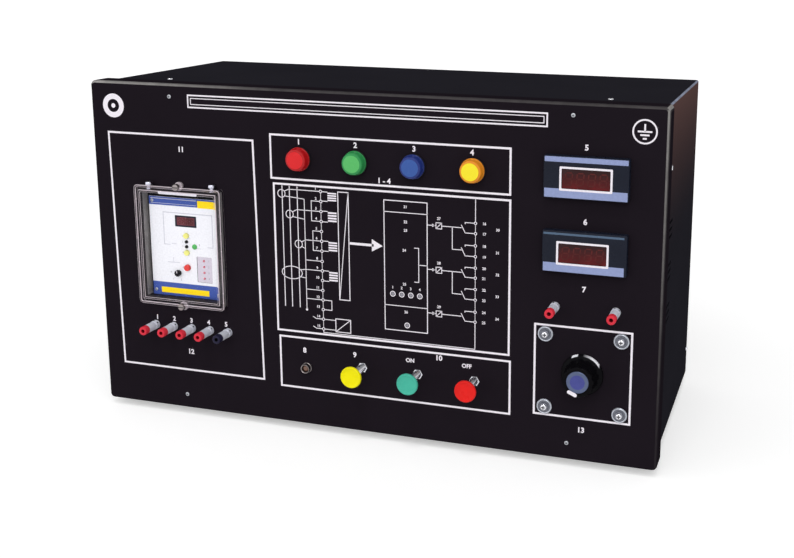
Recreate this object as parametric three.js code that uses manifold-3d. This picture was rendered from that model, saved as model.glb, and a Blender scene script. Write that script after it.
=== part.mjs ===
// Relay testing kit: a sheet-metal cabinet whose front panel carries a relay under a clear cover, lamps,
// push buttons, panel meters, binding posts and the knob of a variable transformer.
// Millimetres. X runs along the panel, Y from the front to the back and Z up. The front face of the panel
// lies at Y = 0 while the pieces are made, and at the end the kit is moved so that its footprint is centred.
import * as THREE from "three";
import { mergeVertices } from "three/addons/utils/BufferGeometryUtils.js";
import Module from "manifold-3d";

const wasm = await Module();
wasm.setup();

// Clearances
const seat = 0.3; // between faces that touch and round pieces that slide
const overrun = 4; // how far a cutter runs past what it cuts

// Driving sizes of the cabinet
const panel = { width: 720, height: 418, sheetThickness: 2, flangeDepth: 28, cornerRadius: 4, bendRadius: 3 };
const cabinet = {
  depth: 305,
  sheetThickness: 1.5,
  bendRadius: 2,
  sideGap: 3,
  topGap: 0.5,
  bottomGap: 6,
  topLipHeight: 26,
  sideLipWidth: 12,
  trayHeight: 26,
};
const foot = {
  height: 17.7,
  topRadius: 12,
  bottomRadius: 10.5,
  edgeRadius: 1,
  boreRadius: 5.5,
  boreDepth: 9,
  screwRadius: 2.2,
  inset: 43,
};
const footXShare = 0.404;

// Levels and planes that follow from them
const bodyBottom = foot.height + seat;
const panelBottom = bodyBottom - cabinet.bottomGap - panel.sheetThickness;
const panelTop = panelBottom + panel.height;
const bodyTop = panelTop - panel.sheetThickness - cabinet.topGap;
const bodyWidth = panel.width - 2 * (panel.sheetThickness + cabinet.sideGap);
const panelBack = panel.sheetThickness + seat;
const panelFront = -seat;
const coverBack = cabinet.depth - cabinet.sheetThickness - seat;
const trayWidth = bodyWidth - 2 * (cabinet.sheetThickness + seat);
const trayFloor = bodyBottom + cabinet.sheetThickness + seat;

// Places on the panel, as shares of its width and height from its centre
const lampRowShares = { x: 0.0438, z: 0.3026 };
const buttonRowShares = { x: 0.099, z: -0.2998 };
const powerLightShares = { x: -0.1025, z: -0.3212 };
const ammeterShares = { x: 0.3768, z: 0.304 };
const timerShares = { x: 0.3768, z: 0.1013 };
const relayShares = { x: -0.3333, z: 0.0148 };
const inputPostShares = { x: -0.3231, z: -0.2404 };
const outputPostShares = { x: 0.3789, z: -0.0586 };
const knobShares = { x: 0.3768, z: -0.2438 };

// Places inside the cabinet, as shares of the panel's width and the cabinet's depth
const transformerShares = { x: 0.08, y: 0.62 };
const boardShares = { x: -0.24, y: 0.6 };

// Sizes of what the panel carries
const lamp = {
  pitch: 72,
  lensBack: 14.4,
  lensFront: 12.9,
  lensReach: 12.5,
  lensEdgeRadius: 1.4,
  lensWallThickness: 2.4,
  flangeRadius: 14.8,
  flangeThickness: 2,
  spigotRadius: 9.6,
  spigotLength: 3,
  barrelRadius: 10.9,
  nutRadius: 14,
  nutThickness: 4,
  terminalRadius: 8.5,
  terminalDepth: 34,
};
const button = {
  pitch: 71,
  headRadius: 13.25,
  headThickness: 8,
  headEdgeRadius: 1.4,
  reach: 37,
  travel: 4,
  stemRadius: 3.1,
  stemDepth: 8,
  neckRadius: 4.8,
  neckReach: 24,
  neckEdgeRadius: 0.6,
  nutAcross: 13,
  nutThickness: 2.5,
  blockWidth: 26,
  blockDepth: 28,
};
const light = {
  ringRadius: 6.6,
  ringReach: 7,
  ringWallThickness: 2,
  domeReach: 6,
  barrelRadius: 4.6,
  barrelDepth: 12,
  nutRadius: 6.2,
  nutThickness: 2.5,
};
const meter = {
  width: 96,
  height: 48,
  reach: 8,
  cornerRadius: 2,
  edgeRadius: 1.2,
  bodyWidth: 90.5,
  bodyHeight: 43.5,
  bodyDepth: 70,
  windowWidth: 60,
  windowHeight: 27,
  windowDepth: 2.4,
  windowThickness: 1.5,
  windowCornerRadius: 1.5,
};
const relay = {
  bodyWidth: 110,
  bodyHeight: 142.6,
  bodyDepth: 150,
  wallThickness: 3.7,
  flangeWidth: 114,
  flangeHeight: 147,
  flangeThickness: 3,
  rimReach: 1.4,
  rimWallThickness: 1.5,
  cornerRadius: 2,
};
const cover = {
  wallThickness: 2.7,
  reach: 10,
  frontThickness: 2.5,
  cornerRadius: 3,
  ridgeWidth: 3,
  grooveWidth: 3,
  grooveDepth: 1.4,
};
const thumb = {
  headRadius: 4.2,
  headThickness: 5.4,
  shankRadius: 1.8,
  shankEnd: 1.5,
  pocketWallThickness: 1.5,
  floor: 2.7,
  notches: 12,
  notchDepth: 0.5,
};
const face = {
  xShift: 1.2,
  zShift: -3.2,
  width: 98,
  height: 128,
  depth: 2.5,
  thickness: 3,
  cornerRadius: 1,
  windowWidth: 30,
  windowHeight: 14.4,
  windowDepth: 1,
  lightsWidth: 21,
  lightsHeight: 33,
  lightsDepth: 0.6,
};
const key = { radius: 3.5, reach: 2.4, stem: 2.6, travel: 1 };
const arrowKey = { radius: 1.9, reach: 2, stem: 2.6, travel: 1 };
const resetKey = { radius: 4, reach: 3, stem: 2.6, travel: 1.5 };
const selector = {
  radius: 4.1,
  reach: 4.8,
  stemRadius: 1.5,
  stem: 4,
  gap: 0.5,
  flutes: 10,
  fluteDepth: 0.35,
};
const post = {
  pitch: 25.8,
  outputPitch: 70,
  collarRadius: 5.6,
  collarLength: 7,
  crossRadius: 1.2,
  neckRadius: 3.4,
  studRadius: 2.3,
  studReach: 16,
  studDepth: 22,
  nutAcross: 11,
  nutThickness: 4,
  capRadius: 5.4,
  endRadius: 5.6,
  endLength: 8,
  reach: 30,
  edgeRadius: 0.6,
  socketRadius: 2.1,
  socketDepth: 10,
  boreDepth: 10,
};
const knob = {
  skirtRadius: 24.5,
  skirtThickness: 4,
  standOff: 0.8,
  bodyRadius: 19.6,
  frontRadius: 18.2,
  reach: 27,
  edgeRadius: 1.4,
  flutes: 12,
  fluteDepth: 1.3,
  boreDepth: 18,
  inlayRadius: 12.9,
  inlayDepth: 1.2,
};
const variac = {
  shaftRadius: 4,
  plateSize: 106,
  plateThickness: 5,
  plateCornerRadius: 12,
  screwSpacing: 88,
  screwRadius: 2.5,
  washerRadius: 9.1,
  washerThickness: 1.5,
  headRadius: 5.6,
  headReach: 3.2,
  hubRadius: 11,
  hubDepth: 26,
  ringRadius: 48,
  holeRadius: 21,
  ringDepth: 44,
  ringEdgeRadius: 6,
  armWidth: 16,
  armThickness: 4,
  brushSize: 8,
  brushReach: 3,
  collarRadius: 9,
};
const transformer = {
  coreWidth: 96,
  coreDepth: 42,
  coreHeight: 80,
  coilWidth: 58,
  coilDepth: 84,
  coilHeight: 46,
  coilCornerRadius: 10,
  footWidth: 124,
  footDepth: 36,
  footThickness: 3,
};
const board = {
  width: 190,
  depth: 120,
  thickness: 1.6,
  standOff: 10,
  standOffRadius: 4,
  rimWidth: 8,
  relayLength: 29,
  relayWidth: 13,
  relayHeight: 16,
  relays: 5,
  terminalDepth: 10,
  terminalHeight: 12,
  capacitorRadius: 9,
  capacitorHeight: 24,
};
const inlet = {
  flangeWidth: 50,
  flangeHeight: 23,
  flangeThickness: 3,
  flangeCornerRadius: 4,
  bodyWidth: 27.5,
  bodyHeight: 20,
  bodyDepth: 26,
  socketWidth: 24.4,
  socketHeight: 16.6,
  socketDepth: 16.5,
  socketCornerRadius: 3,
  pinWidth: 2,
  pinHeight: 4,
  pinLength: 10,
  pinSpacing: 14,
};
const inletShares = { x: -0.36, z: -0.33 };
const vent = {
  length: 32,
  height: 4,
  pitch: 8.7,
  groupPitch: 50.8,
  startDepth: 61,
  zShare: 0.0144,
  backLength: 60,
  backGap: 14,
  backZShare: 0.2,
};
const ventCount = { groups: 3, slots: 3, backColumns: 4, backSlots: 5 };

// Facets round a full turn, by how much of the piece shows
const facets = { fine: 24, plain: 13, small: 9, drill: 5, corner: 2 };

// Points of a mesh nearer than this are one point
const weldTolerance = 0.0001;

// Steps of the hollows along a grip, and how deep each lies
const fluteShares = { step: [0, 0.3, 0.5, 0.7], depth: [0, 0.7, 1, 0.7] };
const domeShare = 0.7;
const headShares = { radius: 0.9, reach: 0.6 };

// Solids

// A closed geometry as a manifold solid, with its faces turned out.
function solid(geometry) {
  const bare = geometry.index ? geometry.toNonIndexed() : geometry.clone();
  bare.deleteAttribute("normal");
  bare.deleteAttribute("uv");
  const merged = mergeVertices(bare, weldTolerance);
  const index = merged.index.array;
  const kept = [];
  for (let i = 0; i < index.length; i += 3) {
    const [a, b, c] = index.slice(i, i + 3);
    if (a !== b && b !== c && c !== a) kept.push([a, b, c]);
  }
  const build = (faces) =>
    new wasm.Manifold(
      new wasm.Mesh({
        numProp: 3,
        vertProperties: merged.attributes.position.array,
        triVerts: new Uint32Array(faces.flat()),
      }),
    );
  const made = build(kept);
  return made.volume() < 0 ? build(kept.map(([a, b, c]) => [a, c, b])) : made;
}

function geometryOf(manifold) {
  const mesh = manifold.getMesh();
  return new THREE.BufferGeometry()
    .setAttribute("position", new THREE.BufferAttribute(new Float32Array(mesh.vertProperties), 3))
    .setIndex(new THREE.BufferAttribute(new Uint32Array(mesh.triVerts), 1));
}

// A box between two corners.
function block(low, high) {
  const size = high.map((v, i) => v - low[i]);
  const geometry = new THREE.BoxGeometry(...size);
  geometry.translate(...low.map((v, i) => v + size[i] / 2));
  return solid(geometry);
}

// A rectangle in X and Z about its own centre, with round corners.
function roundedRectangle(width, height, radius) {
  const x = width / 2 - radius;
  const z = height / 2 - radius;
  const shape = new THREE.Shape();
  shape.absarc(x, z, radius, 0, Math.PI / 2);
  shape.absarc(-x, z, radius, Math.PI / 2, Math.PI);
  shape.absarc(-x, -z, radius, Math.PI, 1.5 * Math.PI);
  shape.absarc(x, -z, radius, 1.5 * Math.PI, 2 * Math.PI);
  return shape;
}

// The same rectangle drawn in by a wall all round.
function drawnIn(width, height, inset, radius) {
  return roundedRectangle(width - 2 * inset, height - 2 * inset, radius);
}

// An arch for the wrapped sheet: square at the bottom, round at the two top corners.
function archOutline(width, bottom, top, radius) {
  const x = width / 2;
  const shape = new THREE.Shape();
  shape.moveTo(-x, bottom);
  shape.lineTo(x, bottom);
  shape.absarc(x - radius, top - radius, radius, 0, Math.PI / 2);
  shape.absarc(-x + radius, top - radius, radius, Math.PI / 2, Math.PI);
  return shape;
}

function polygonOutline(radius, sides, turn = 0) {
  const shape = new THREE.Shape();
  for (let i = 0; i < sides; i++) {
    const angle = turn + (2 * Math.PI * i) / sides;
    const point = [radius * Math.cos(angle), radius * Math.sin(angle)];
    if (i === 0) shape.moveTo(...point);
    else shape.lineTo(...point);
  }
  return shape;
}

// A round outline with shallow hollows cut along its edge, for grips.
function flutedOutline(radius, flutes, depth) {
  const shape = new THREE.Shape();
  for (let i = 0; i < flutes; i++) {
    fluteShares.step.forEach((share, k) => {
      const angle = (2 * Math.PI * (i + share)) / flutes;
      const r = radius - depth * fluteShares.depth[k];
      const point = [r * Math.cos(angle), r * Math.sin(angle)];
      if (i === 0 && k === 0) shape.moveTo(...point);
      else shape.lineTo(...point);
    });
  }
  return shape;
}

// An outline in X and Z made solid between two planes of Y.
function slab(shape, front, back, place = { x: 0, z: 0 }, curveSegments = facets.corner) {
  const geometry = new THREE.ExtrudeGeometry(shape, {
    depth: back - front,
    bevelEnabled: false,
    curveSegments,
  });
  geometry.rotateX(Math.PI / 2);
  geometry.translate(place.x, back, place.z);
  return solid(geometry);
}

// A rounded rectangle whose front edge is rounded too.
function easedSlab(width, height, corner, edge, front, back, place) {
  const shape = roundedRectangle(width - 2 * edge, height - 2 * edge, Math.max(corner - edge, edge));
  const geometry = new THREE.ExtrudeGeometry(shape, {
    depth: back - front,
    bevelEnabled: true,
    bevelThickness: edge,
    bevelSize: edge,
    bevelSegments: facets.corner,
    curveSegments: facets.corner,
  });
  geometry.rotateX(Math.PI / 2);
  geometry.translate(place.x, back + edge, place.z);
  const far = back + 2 * edge + overrun;
  const behind = block(
    [place.x - width, back, place.z - height],
    [place.x + width, far, place.z + height],
  );
  return solid(geometry).subtract(behind);
}

// A profile of radius and Y turned about an axis along Y.
function turned(profile, segments, place = { x: 0, z: 0 }) {
  const points = profile.map(([radius, y]) => new THREE.Vector2(radius, y));
  const geometry = new THREE.LatheGeometry(points, segments);
  geometry.translate(place.x, 0, place.z);
  return solid(geometry);
}

// A plain round bar along Y.
function rod(radius, front, back, place = { x: 0, z: 0 }, segments = facets.plain) {
  return turned([[0, front], [radius, front], [radius, back], [0, back]], segments, place);
}

function hexagonRadius(across) {
  return across / Math.sqrt(3);
}

// A point of the panel from its shares.
function onPanel(shares) {
  return {
    x: shares.x * panel.width,
    z: (panelBottom + panelTop) / 2 + shares.z * panel.height,
  };
}

// The places of a row of equal pieces about its centre.
function rowOf(count, pitch, centre) {
  return Array.from({ length: count }, (_, i) => ({
    x: centre.x + (i - (count - 1) / 2) * pitch,
    z: centre.z,
  }));
}

const kit = new THREE.Group();

function addPiece(name, manifold, look) {
  const mesh = new THREE.Mesh(geometryOf(manifold), new THREE.MeshStandardMaterial(look));
  mesh.name = name;
  kit.add(mesh);
}

// Finishes
const finish = {
  blackPowder: { color: 0x1c181c, roughness: 0.45, metalness: 0.2 },
  blackPlastic: { color: 0x141416, roughness: 0.35, metalness: 0 },
  chrome: { color: 0xd8d8dc, roughness: 0.15, metalness: 1 },
  nickel: { color: 0xc8c8d2, roughness: 0.3, metalness: 0.8 },
  steel: { color: 0x9a9ca0, roughness: 0.4, metalness: 0.9 },
  copper: { color: 0xa35a2c, roughness: 0.4, metalness: 0.8 },
  blueMetal: { color: 0x50558c, roughness: 0.3, metalness: 0.8 },
  footPlastic: { color: 0xe8dcdc, roughness: 0.4, metalness: 0 },
  clear: { color: 0xf0f0f4, roughness: 0.05, metalness: 0, transparent: true, opacity: 0.3 },
  faceWhite: { color: 0xf0f0f2, roughness: 0.5, metalness: 0 },
  windowRed: { color: 0x5a1418, roughness: 0.1, metalness: 0 },
  boardGreen: { color: 0x1e6a3c, roughness: 0.5, metalness: 0 },
  red: { color: 0xfa1923, roughness: 0.25, metalness: 0 },
  green: { color: 0x46c3a0, roughness: 0.25, metalness: 0 },
  blue: { color: 0x2850b4, roughness: 0.25, metalness: 0 },
  yellow: { color: 0xfdf00a, roughness: 0.25, metalness: 0 },
  keyYellow: { color: 0xe8dc50, roughness: 0.4, metalness: 0 },
};

// Places of the pieces that repeat
const lampNames = ["red", "green", "blue", "yellow"];
const lampPlaces = rowOf(lampNames.length, lamp.pitch, onPanel(lampRowShares));
const buttonNames = ["yellow", "green", "red"];
const buttonPlaces = rowOf(buttonNames.length, button.pitch, onPanel(buttonRowShares));
const inputPosts = ["input_1", "input_2", "input_3", "input_4", "input_5"];
const outputPosts = ["output_1", "output_2"];
const postPlaces = [
  ...rowOf(inputPosts.length, post.pitch, onPanel(inputPostShares)),
  ...rowOf(outputPosts.length, post.outputPitch, onPanel(outputPostShares)),
];
const relayPlace = onPanel(relayShares);
const facePlace = { x: relayPlace.x + face.xShift, z: relayPlace.z + face.zShift };
const knobPlace = onPanel(knobShares);
const lightPlace = onPanel(powerLightShares);
const meterPlaces = { ammeter: onPanel(ammeterShares), timer: onPanel(timerShares) };

// Sizes that several pieces of the relay share
const cavityWidth = relay.bodyWidth - 2 * relay.wallThickness;
const cavityHeight = relay.bodyHeight - 2 * relay.wallThickness;
const flangeFront = panelFront - relay.flangeThickness;
const coverWidth = relay.flangeWidth + 2 * (cover.wallThickness + seat);
const coverHeight = relay.flangeHeight + 2 * (cover.wallThickness + seat);
const coverInside = -cover.reach + cover.frontThickness;
const pocketFloorBack = flangeFront - seat;
const pocketFloorFront = pocketFloorBack - thumb.floor;
const thumbPlaces = {
  upper: { x: relayPlace.x, z: relayPlace.z + coverHeight / 2 },
  lower: { x: relayPlace.x, z: relayPlace.z - coverHeight / 2 },
};
const variacScrews = [-1, 1].flatMap((sx) =>
  [-1, 1].map((sz) => ({
    x: knobPlace.x + (sx * variac.screwSpacing) / 2,
    z: knobPlace.z + (sz * variac.screwSpacing) / 2,
  })),
);

// Front panel: one sheet folded as a shallow tray, with the holes of all that it carries.
function frontPanel() {
  const centre = { x: 0, z: (panelBottom + panelTop) / 2 };
  const outside = easedSlab(
    panel.width,
    panel.height,
    panel.cornerRadius,
    panel.bendRadius,
    0,
    panel.flangeDepth,
    centre,
  );
  const inside = slab(
    drawnIn(panel.width, panel.height, panel.sheetThickness, panel.cornerRadius),
    panel.sheetThickness,
    panel.flangeDepth + overrun,
    centre,
  );
  const back = panel.sheetThickness + overrun;
  const hole = (radius, place, segments) => rod(radius + seat, -overrun, back, place, segments);
  const cuts = [
    ...lampPlaces.map((place) => hole(lamp.barrelRadius, place, facets.plain)),
    ...buttonPlaces.map((place) => hole(button.neckRadius, place, facets.plain)),
    ...postPlaces.map((place) => hole(post.neckRadius, place, facets.small)),
    ...variacScrews.map((place) => hole(variac.screwRadius, place, facets.small)),
    ...Object.values(thumbPlaces).map((place) => hole(thumb.shankRadius, place, facets.small)),
    hole(light.barrelRadius, lightPlace, facets.small),
    hole(variac.shaftRadius, knobPlace, facets.plain),
    ...Object.values(meterPlaces).map((place) =>
      slab(
        drawnIn(meter.bodyWidth, meter.bodyHeight, -seat, meter.cornerRadius),
        -overrun,
        back,
        place,
      ),
    ),
    slab(
      drawnIn(relay.bodyWidth, relay.bodyHeight, -seat, relay.cornerRadius),
      -overrun,
      back,
      relayPlace,
    ),
  ];
  return cuts.reduce((sheet, cut) => sheet.subtract(cut), outside.subtract(inside));
}

// Slots through both sides of the cover, in groups one above the other.
function sideVents() {
  const middle = (panelBottom + panelTop) / 2 + vent.zShare * panel.height;
  const slots = [];
  for (let g = 0; g < ventCount.groups; g++) {
    for (let i = 0; i < ventCount.slots; i++) {
      const group = (g - (ventCount.groups - 1) / 2) * vent.groupPitch;
      const z = middle + group + (i - (ventCount.slots - 1) / 2) * vent.pitch;
      slots.push(
        block(
          [-panel.width / 2, vent.startDepth, z - vent.height / 2],
          [panel.width / 2, vent.startDepth + vent.length, z + vent.height / 2],
        ),
      );
    }
  }
  return slots;
}

// Wrapped cover: top and sides bent from one sheet, with lips turned in at the front and the back.
function wrapCover() {
  const insideWidth = bodyWidth - 2 * cabinet.sheetThickness;
  const outside = slab(
    archOutline(bodyWidth, bodyBottom, bodyTop, cabinet.bendRadius + cabinet.sheetThickness),
    panelBack,
    coverBack,
  );
  const inside = slab(
    archOutline(insideWidth, bodyBottom - overrun, bodyTop - cabinet.sheetThickness, cabinet.bendRadius),
    panelBack + cabinet.sheetThickness,
    coverBack - cabinet.sheetThickness,
  );
  const openWidth = insideWidth / 2 - cabinet.sideLipWidth;
  const ends = block(
    [-openWidth, panelBack - overrun, bodyBottom - overrun],
    [openWidth, coverBack + overrun, bodyTop - cabinet.topLipHeight],
  );
  const trayRoom = block(
    [-insideWidth / 2, panelBack - overrun, bodyBottom - overrun],
    [insideWidth / 2, coverBack + overrun, bodyBottom + cabinet.trayHeight + seat],
  );
  const cuts = [inside, ends, trayRoom, ...sideVents()];
  return cuts.reduce((sheet, cut) => sheet.subtract(cut), outside);
}

const footPlaces = {
  front_left: { x: -footXShare * panel.width, y: foot.inset },
  front_right: { x: footXShare * panel.width, y: foot.inset },
  rear_left: { x: -footXShare * panel.width, y: cabinet.depth - foot.inset },
  rear_right: { x: footXShare * panel.width, y: cabinet.depth - foot.inset },
};

// Base tray: the bottom sheet with its four edges turned up, drilled for the screws of the feet.
function baseTray() {
  const wall = cabinet.sheetThickness;
  const half = trayWidth / 2;
  const top = bodyBottom + cabinet.trayHeight;
  const outside = block([-half, panelBack, bodyBottom], [half, coverBack, top]);
  const inside = block(
    [-half + wall, panelBack + wall, bodyBottom + wall],
    [half - wall, coverBack - wall, top + overrun],
  );
  const holes = Object.values(footPlaces).map((place) => {
    const drill = new THREE.CylinderGeometry(
      foot.screwRadius,
      foot.screwRadius,
      wall + 2 * overrun,
      facets.small,
    );
    drill.rotateX(Math.PI / 2);
    drill.translate(place.x, place.y, bodyBottom + wall / 2);
    return solid(drill);
  });
  return holes.reduce((tray, hole) => tray.subtract(hole), outside.subtract(inside));
}

const inletPlace = onPanel(inletShares);

// Back panel: a flat sheet over the back opening, with vent slots and the cut-out of the mains inlet.
function backPanel() {
  const front = coverBack + seat;
  const centre = { x: 0, z: (bodyBottom + bodyTop) / 2 };
  const sheet = slab(
    drawnIn(bodyWidth, bodyTop - bodyBottom, seat, cabinet.bendRadius),
    front,
    cabinet.depth,
    centre,
  );
  const cut = (width, height, corner, place) =>
    slab(roundedRectangle(width, height, corner), front - overrun, cabinet.depth + overrun, place);
  const cuts = [
    cut(inlet.bodyWidth + 2 * seat, inlet.bodyHeight + 2 * seat, inlet.socketCornerRadius, inletPlace),
  ];
  const columnPitch = vent.backLength + vent.backGap;
  const middle = centre.z + vent.backZShare * panel.height;
  for (let c = 0; c < ventCount.backColumns; c++) {
    for (let i = 0; i < ventCount.backSlots; i++) {
      const place = {
        x: (c - (ventCount.backColumns - 1) / 2) * columnPitch,
        z: middle + (i - (ventCount.backSlots - 1) / 2) * vent.pitch,
      };
      cuts.push(
        block(
          [place.x - vent.backLength / 2, front - overrun, place.z - vent.height / 2],
          [place.x + vent.backLength / 2, cabinet.depth + overrun, place.z + vent.height / 2],
        ),
      );
    }
  }
  return cuts.reduce((plate, hole) => plate.subtract(hole), sheet);
}

// Foot: a tapered plastic foot with its screw sunk in from below.
function footPiece(place) {
  const profile = [
    [foot.screwRadius, foot.height],
    [foot.topRadius, foot.height],
    [foot.bottomRadius, foot.edgeRadius],
    [foot.bottomRadius - foot.edgeRadius, 0],
    [foot.boreRadius, 0],
    [foot.boreRadius, foot.boreDepth],
    [foot.screwRadius, foot.boreDepth],
    [foot.screwRadius, foot.height],
  ];
  const points = profile.map(([radius, z]) => new THREE.Vector2(radius, z));
  const geometry = new THREE.LatheGeometry(points, facets.small);
  geometry.rotateX(Math.PI / 2);
  geometry.translate(place.x, place.y, 0);
  return solid(geometry);
}

// Lens of a lamp: a hollow cap that tapers to its front.
function lampLens(place) {
  const back = panelFront - lamp.flangeThickness - seat;
  const inner = lamp.lensFront - lamp.lensWallThickness;
  const ceiling = -lamp.lensReach + lamp.lensWallThickness;
  return turned(
    [
      [0, -lamp.lensReach - lamp.lensEdgeRadius / 2],
      [lamp.lensFront - 2 * lamp.lensEdgeRadius, -lamp.lensReach],
      [lamp.lensFront - lamp.lensEdgeRadius / 2, -lamp.lensReach + lamp.lensEdgeRadius / 2],
      [lamp.lensFront, -lamp.lensReach + 2 * lamp.lensEdgeRadius],
      [lamp.lensBack, back],
      [inner, back],
      [inner, ceiling],
      [0, ceiling],
    ],
    facets.plain,
    place,
  );
}

// Holder of a lamp: flange before the panel, barrel through it, nut and terminal block behind.
function lampHolder(place) {
  const flangeFace = panelFront - lamp.flangeThickness;
  const nutBack = panelBack + lamp.nutThickness;
  return turned(
    [
      [0, flangeFace - lamp.spigotLength],
      [lamp.spigotRadius, flangeFace - lamp.spigotLength],
      [lamp.spigotRadius, flangeFace],
      [lamp.flangeRadius, flangeFace],
      [lamp.flangeRadius, panelFront],
      [lamp.barrelRadius, panelFront],
      [lamp.barrelRadius, panelBack],
      [lamp.nutRadius, panelBack],
      [lamp.nutRadius, nutBack],
      [lamp.terminalRadius, nutBack],
      [lamp.terminalRadius, lamp.terminalDepth],
      [0, lamp.terminalDepth],
    ],
    facets.plain,
    place,
  );
}

// Head and stem of a push button.
function buttonHead(place) {
  const front = -button.reach;
  const back = front + button.headThickness;
  const e = button.headEdgeRadius;
  return turned(
    [
      [0, front],
      [button.headRadius - 2 * e, front + e / 4],
      [button.headRadius - e / 2, front + e],
      [button.headRadius, front + 2 * e],
      [button.headRadius, back - e / 2],
      [button.headRadius - e / 2, back],
      [button.stemRadius, back],
      [button.stemRadius, button.stemDepth],
      [0, button.stemDepth],
    ],
    facets.plain,
    place,
  );
}

// Neck, nut and switch block of a push button, bored for the stem and its travel.
function buttonBody(place) {
  const outside = turned(
    [
      [0, -button.neckReach],
      [button.neckRadius - button.neckEdgeRadius, -button.neckReach],
      [button.neckRadius, -button.neckReach + button.neckEdgeRadius],
      [button.neckRadius, panelBack + button.neckEdgeRadius],
      [0, panelBack + button.neckEdgeRadius],
    ],
    facets.plain,
    place,
  );
  const nut = slab(
    polygonOutline(hexagonRadius(button.nutAcross), 6),
    panelFront - button.nutThickness,
    panelFront,
    place,
  );
  const half = button.blockWidth / 2;
  const switchBlock = block(
    [place.x - half, panelBack, place.z - half],
    [place.x + half, panelBack + button.blockDepth, place.z + half],
  );
  const bore = rod(
    button.stemRadius + seat,
    -button.neckReach - overrun,
    button.stemDepth + button.travel + 2 * seat,
    place,
  );
  return outside.add(nut).add(switchBlock).subtract(bore);
}

// Bezel of the small mains light with its domed lens.
function powerLight() {
  const inner = light.ringRadius - light.ringWallThickness;
  const nutBack = panelBack + light.nutThickness;
  return turned(
    [
      [0, -light.domeReach],
      [inner * domeShare, -light.domeReach + light.ringWallThickness / 4],
      [inner, -light.domeReach + light.ringWallThickness],
      [inner, -light.ringReach + light.ringWallThickness / 4],
      [inner + light.ringWallThickness / 4, -light.ringReach],
      [light.ringRadius - light.ringWallThickness / 2, -light.ringReach],
      [light.ringRadius, -light.ringReach + light.ringWallThickness / 2],
      [light.ringRadius, panelFront],
      [light.barrelRadius, panelFront],
      [light.barrelRadius, panelBack],
      [light.nutRadius, panelBack],
      [light.nutRadius, nutBack],
      [light.barrelRadius, nutBack],
      [light.barrelRadius, light.barrelDepth],
      [0, light.barrelDepth],
    ],
    facets.small,
    lightPlace,
  );
}

// Case of a panel meter: bezel with a window recess, housing behind the panel.
function meterCase(place) {
  const bezel = easedSlab(
    meter.width,
    meter.height,
    meter.cornerRadius,
    meter.edgeRadius,
    -meter.reach,
    panelFront,
    place,
  );
  const housing = slab(
    roundedRectangle(meter.bodyWidth, meter.bodyHeight, meter.cornerRadius),
    -meter.reach / 2,
    meter.bodyDepth,
    place,
  );
  const recess = slab(
    roundedRectangle(meter.windowWidth, meter.windowHeight, meter.windowCornerRadius),
    -meter.reach - overrun,
    -meter.reach + meter.windowDepth,
    place,
  );
  return bezel.add(housing).subtract(recess);
}

function meterWindow(place) {
  const back = -meter.reach + meter.windowDepth - seat;
  return slab(
    drawnIn(meter.windowWidth, meter.windowHeight, seat, meter.windowCornerRadius),
    back - meter.windowThickness,
    back,
    place,
  );
}

// Case of the relay: flange and rim before the panel, deep box behind it, open to the front.
function relayCase() {
  const flange = slab(
    roundedRectangle(relay.flangeWidth, relay.flangeHeight, relay.cornerRadius),
    flangeFront,
    panelFront,
    relayPlace,
  );
  const rim = slab(
    drawnIn(cavityWidth, cavityHeight, -relay.rimWallThickness, relay.cornerRadius),
    flangeFront - relay.rimReach,
    flangeFront + relay.rimReach,
    relayPlace,
  );
  const box = slab(
    roundedRectangle(relay.bodyWidth, relay.bodyHeight, relay.cornerRadius),
    panelFront - relay.flangeThickness / 2,
    relay.bodyDepth,
    relayPlace,
  );
  const cavity = slab(
    roundedRectangle(cavityWidth, cavityHeight, relay.cornerRadius),
    flangeFront - overrun,
    relay.bodyDepth - relay.wallThickness,
    relayPlace,
  );
  return flange.add(rim).add(box).subtract(cavity);
}

// A point of the relay's face from its shares.
function onFace(shares) {
  return { x: facePlace.x + shares.x * face.width, z: facePlace.z + shares.z * face.height };
}

const windowShares = { x: 0.021, z: 0.266 };
const lightsShares = { x: 0.264, z: -0.207 };
const keyShares = {
  relay_key_upper: { x: 0.022, z: 0.123 },
  relay_key_up: { x: 0.022, z: 0.0625 },
  relay_key_down: { x: 0.022, z: 0.0133 },
  relay_key_lower: { x: 0.022, z: -0.0477 },
  relay_reset_button: { x: 0.022, z: -0.198 },
};
const keySizes = {
  relay_key_upper: key,
  relay_key_up: arrowKey,
  relay_key_down: arrowKey,
  relay_key_lower: key,
  relay_reset_button: resetKey,
};
const keyFinishes = {
  relay_key_upper: finish.keyYellow,
  relay_key_up: finish.blackPlastic,
  relay_key_down: finish.blackPlastic,
  relay_key_lower: finish.keyYellow,
  relay_reset_button: finish.red,
};
const selectorPlace = onFace({ x: -0.111, z: -0.259 });

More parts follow.
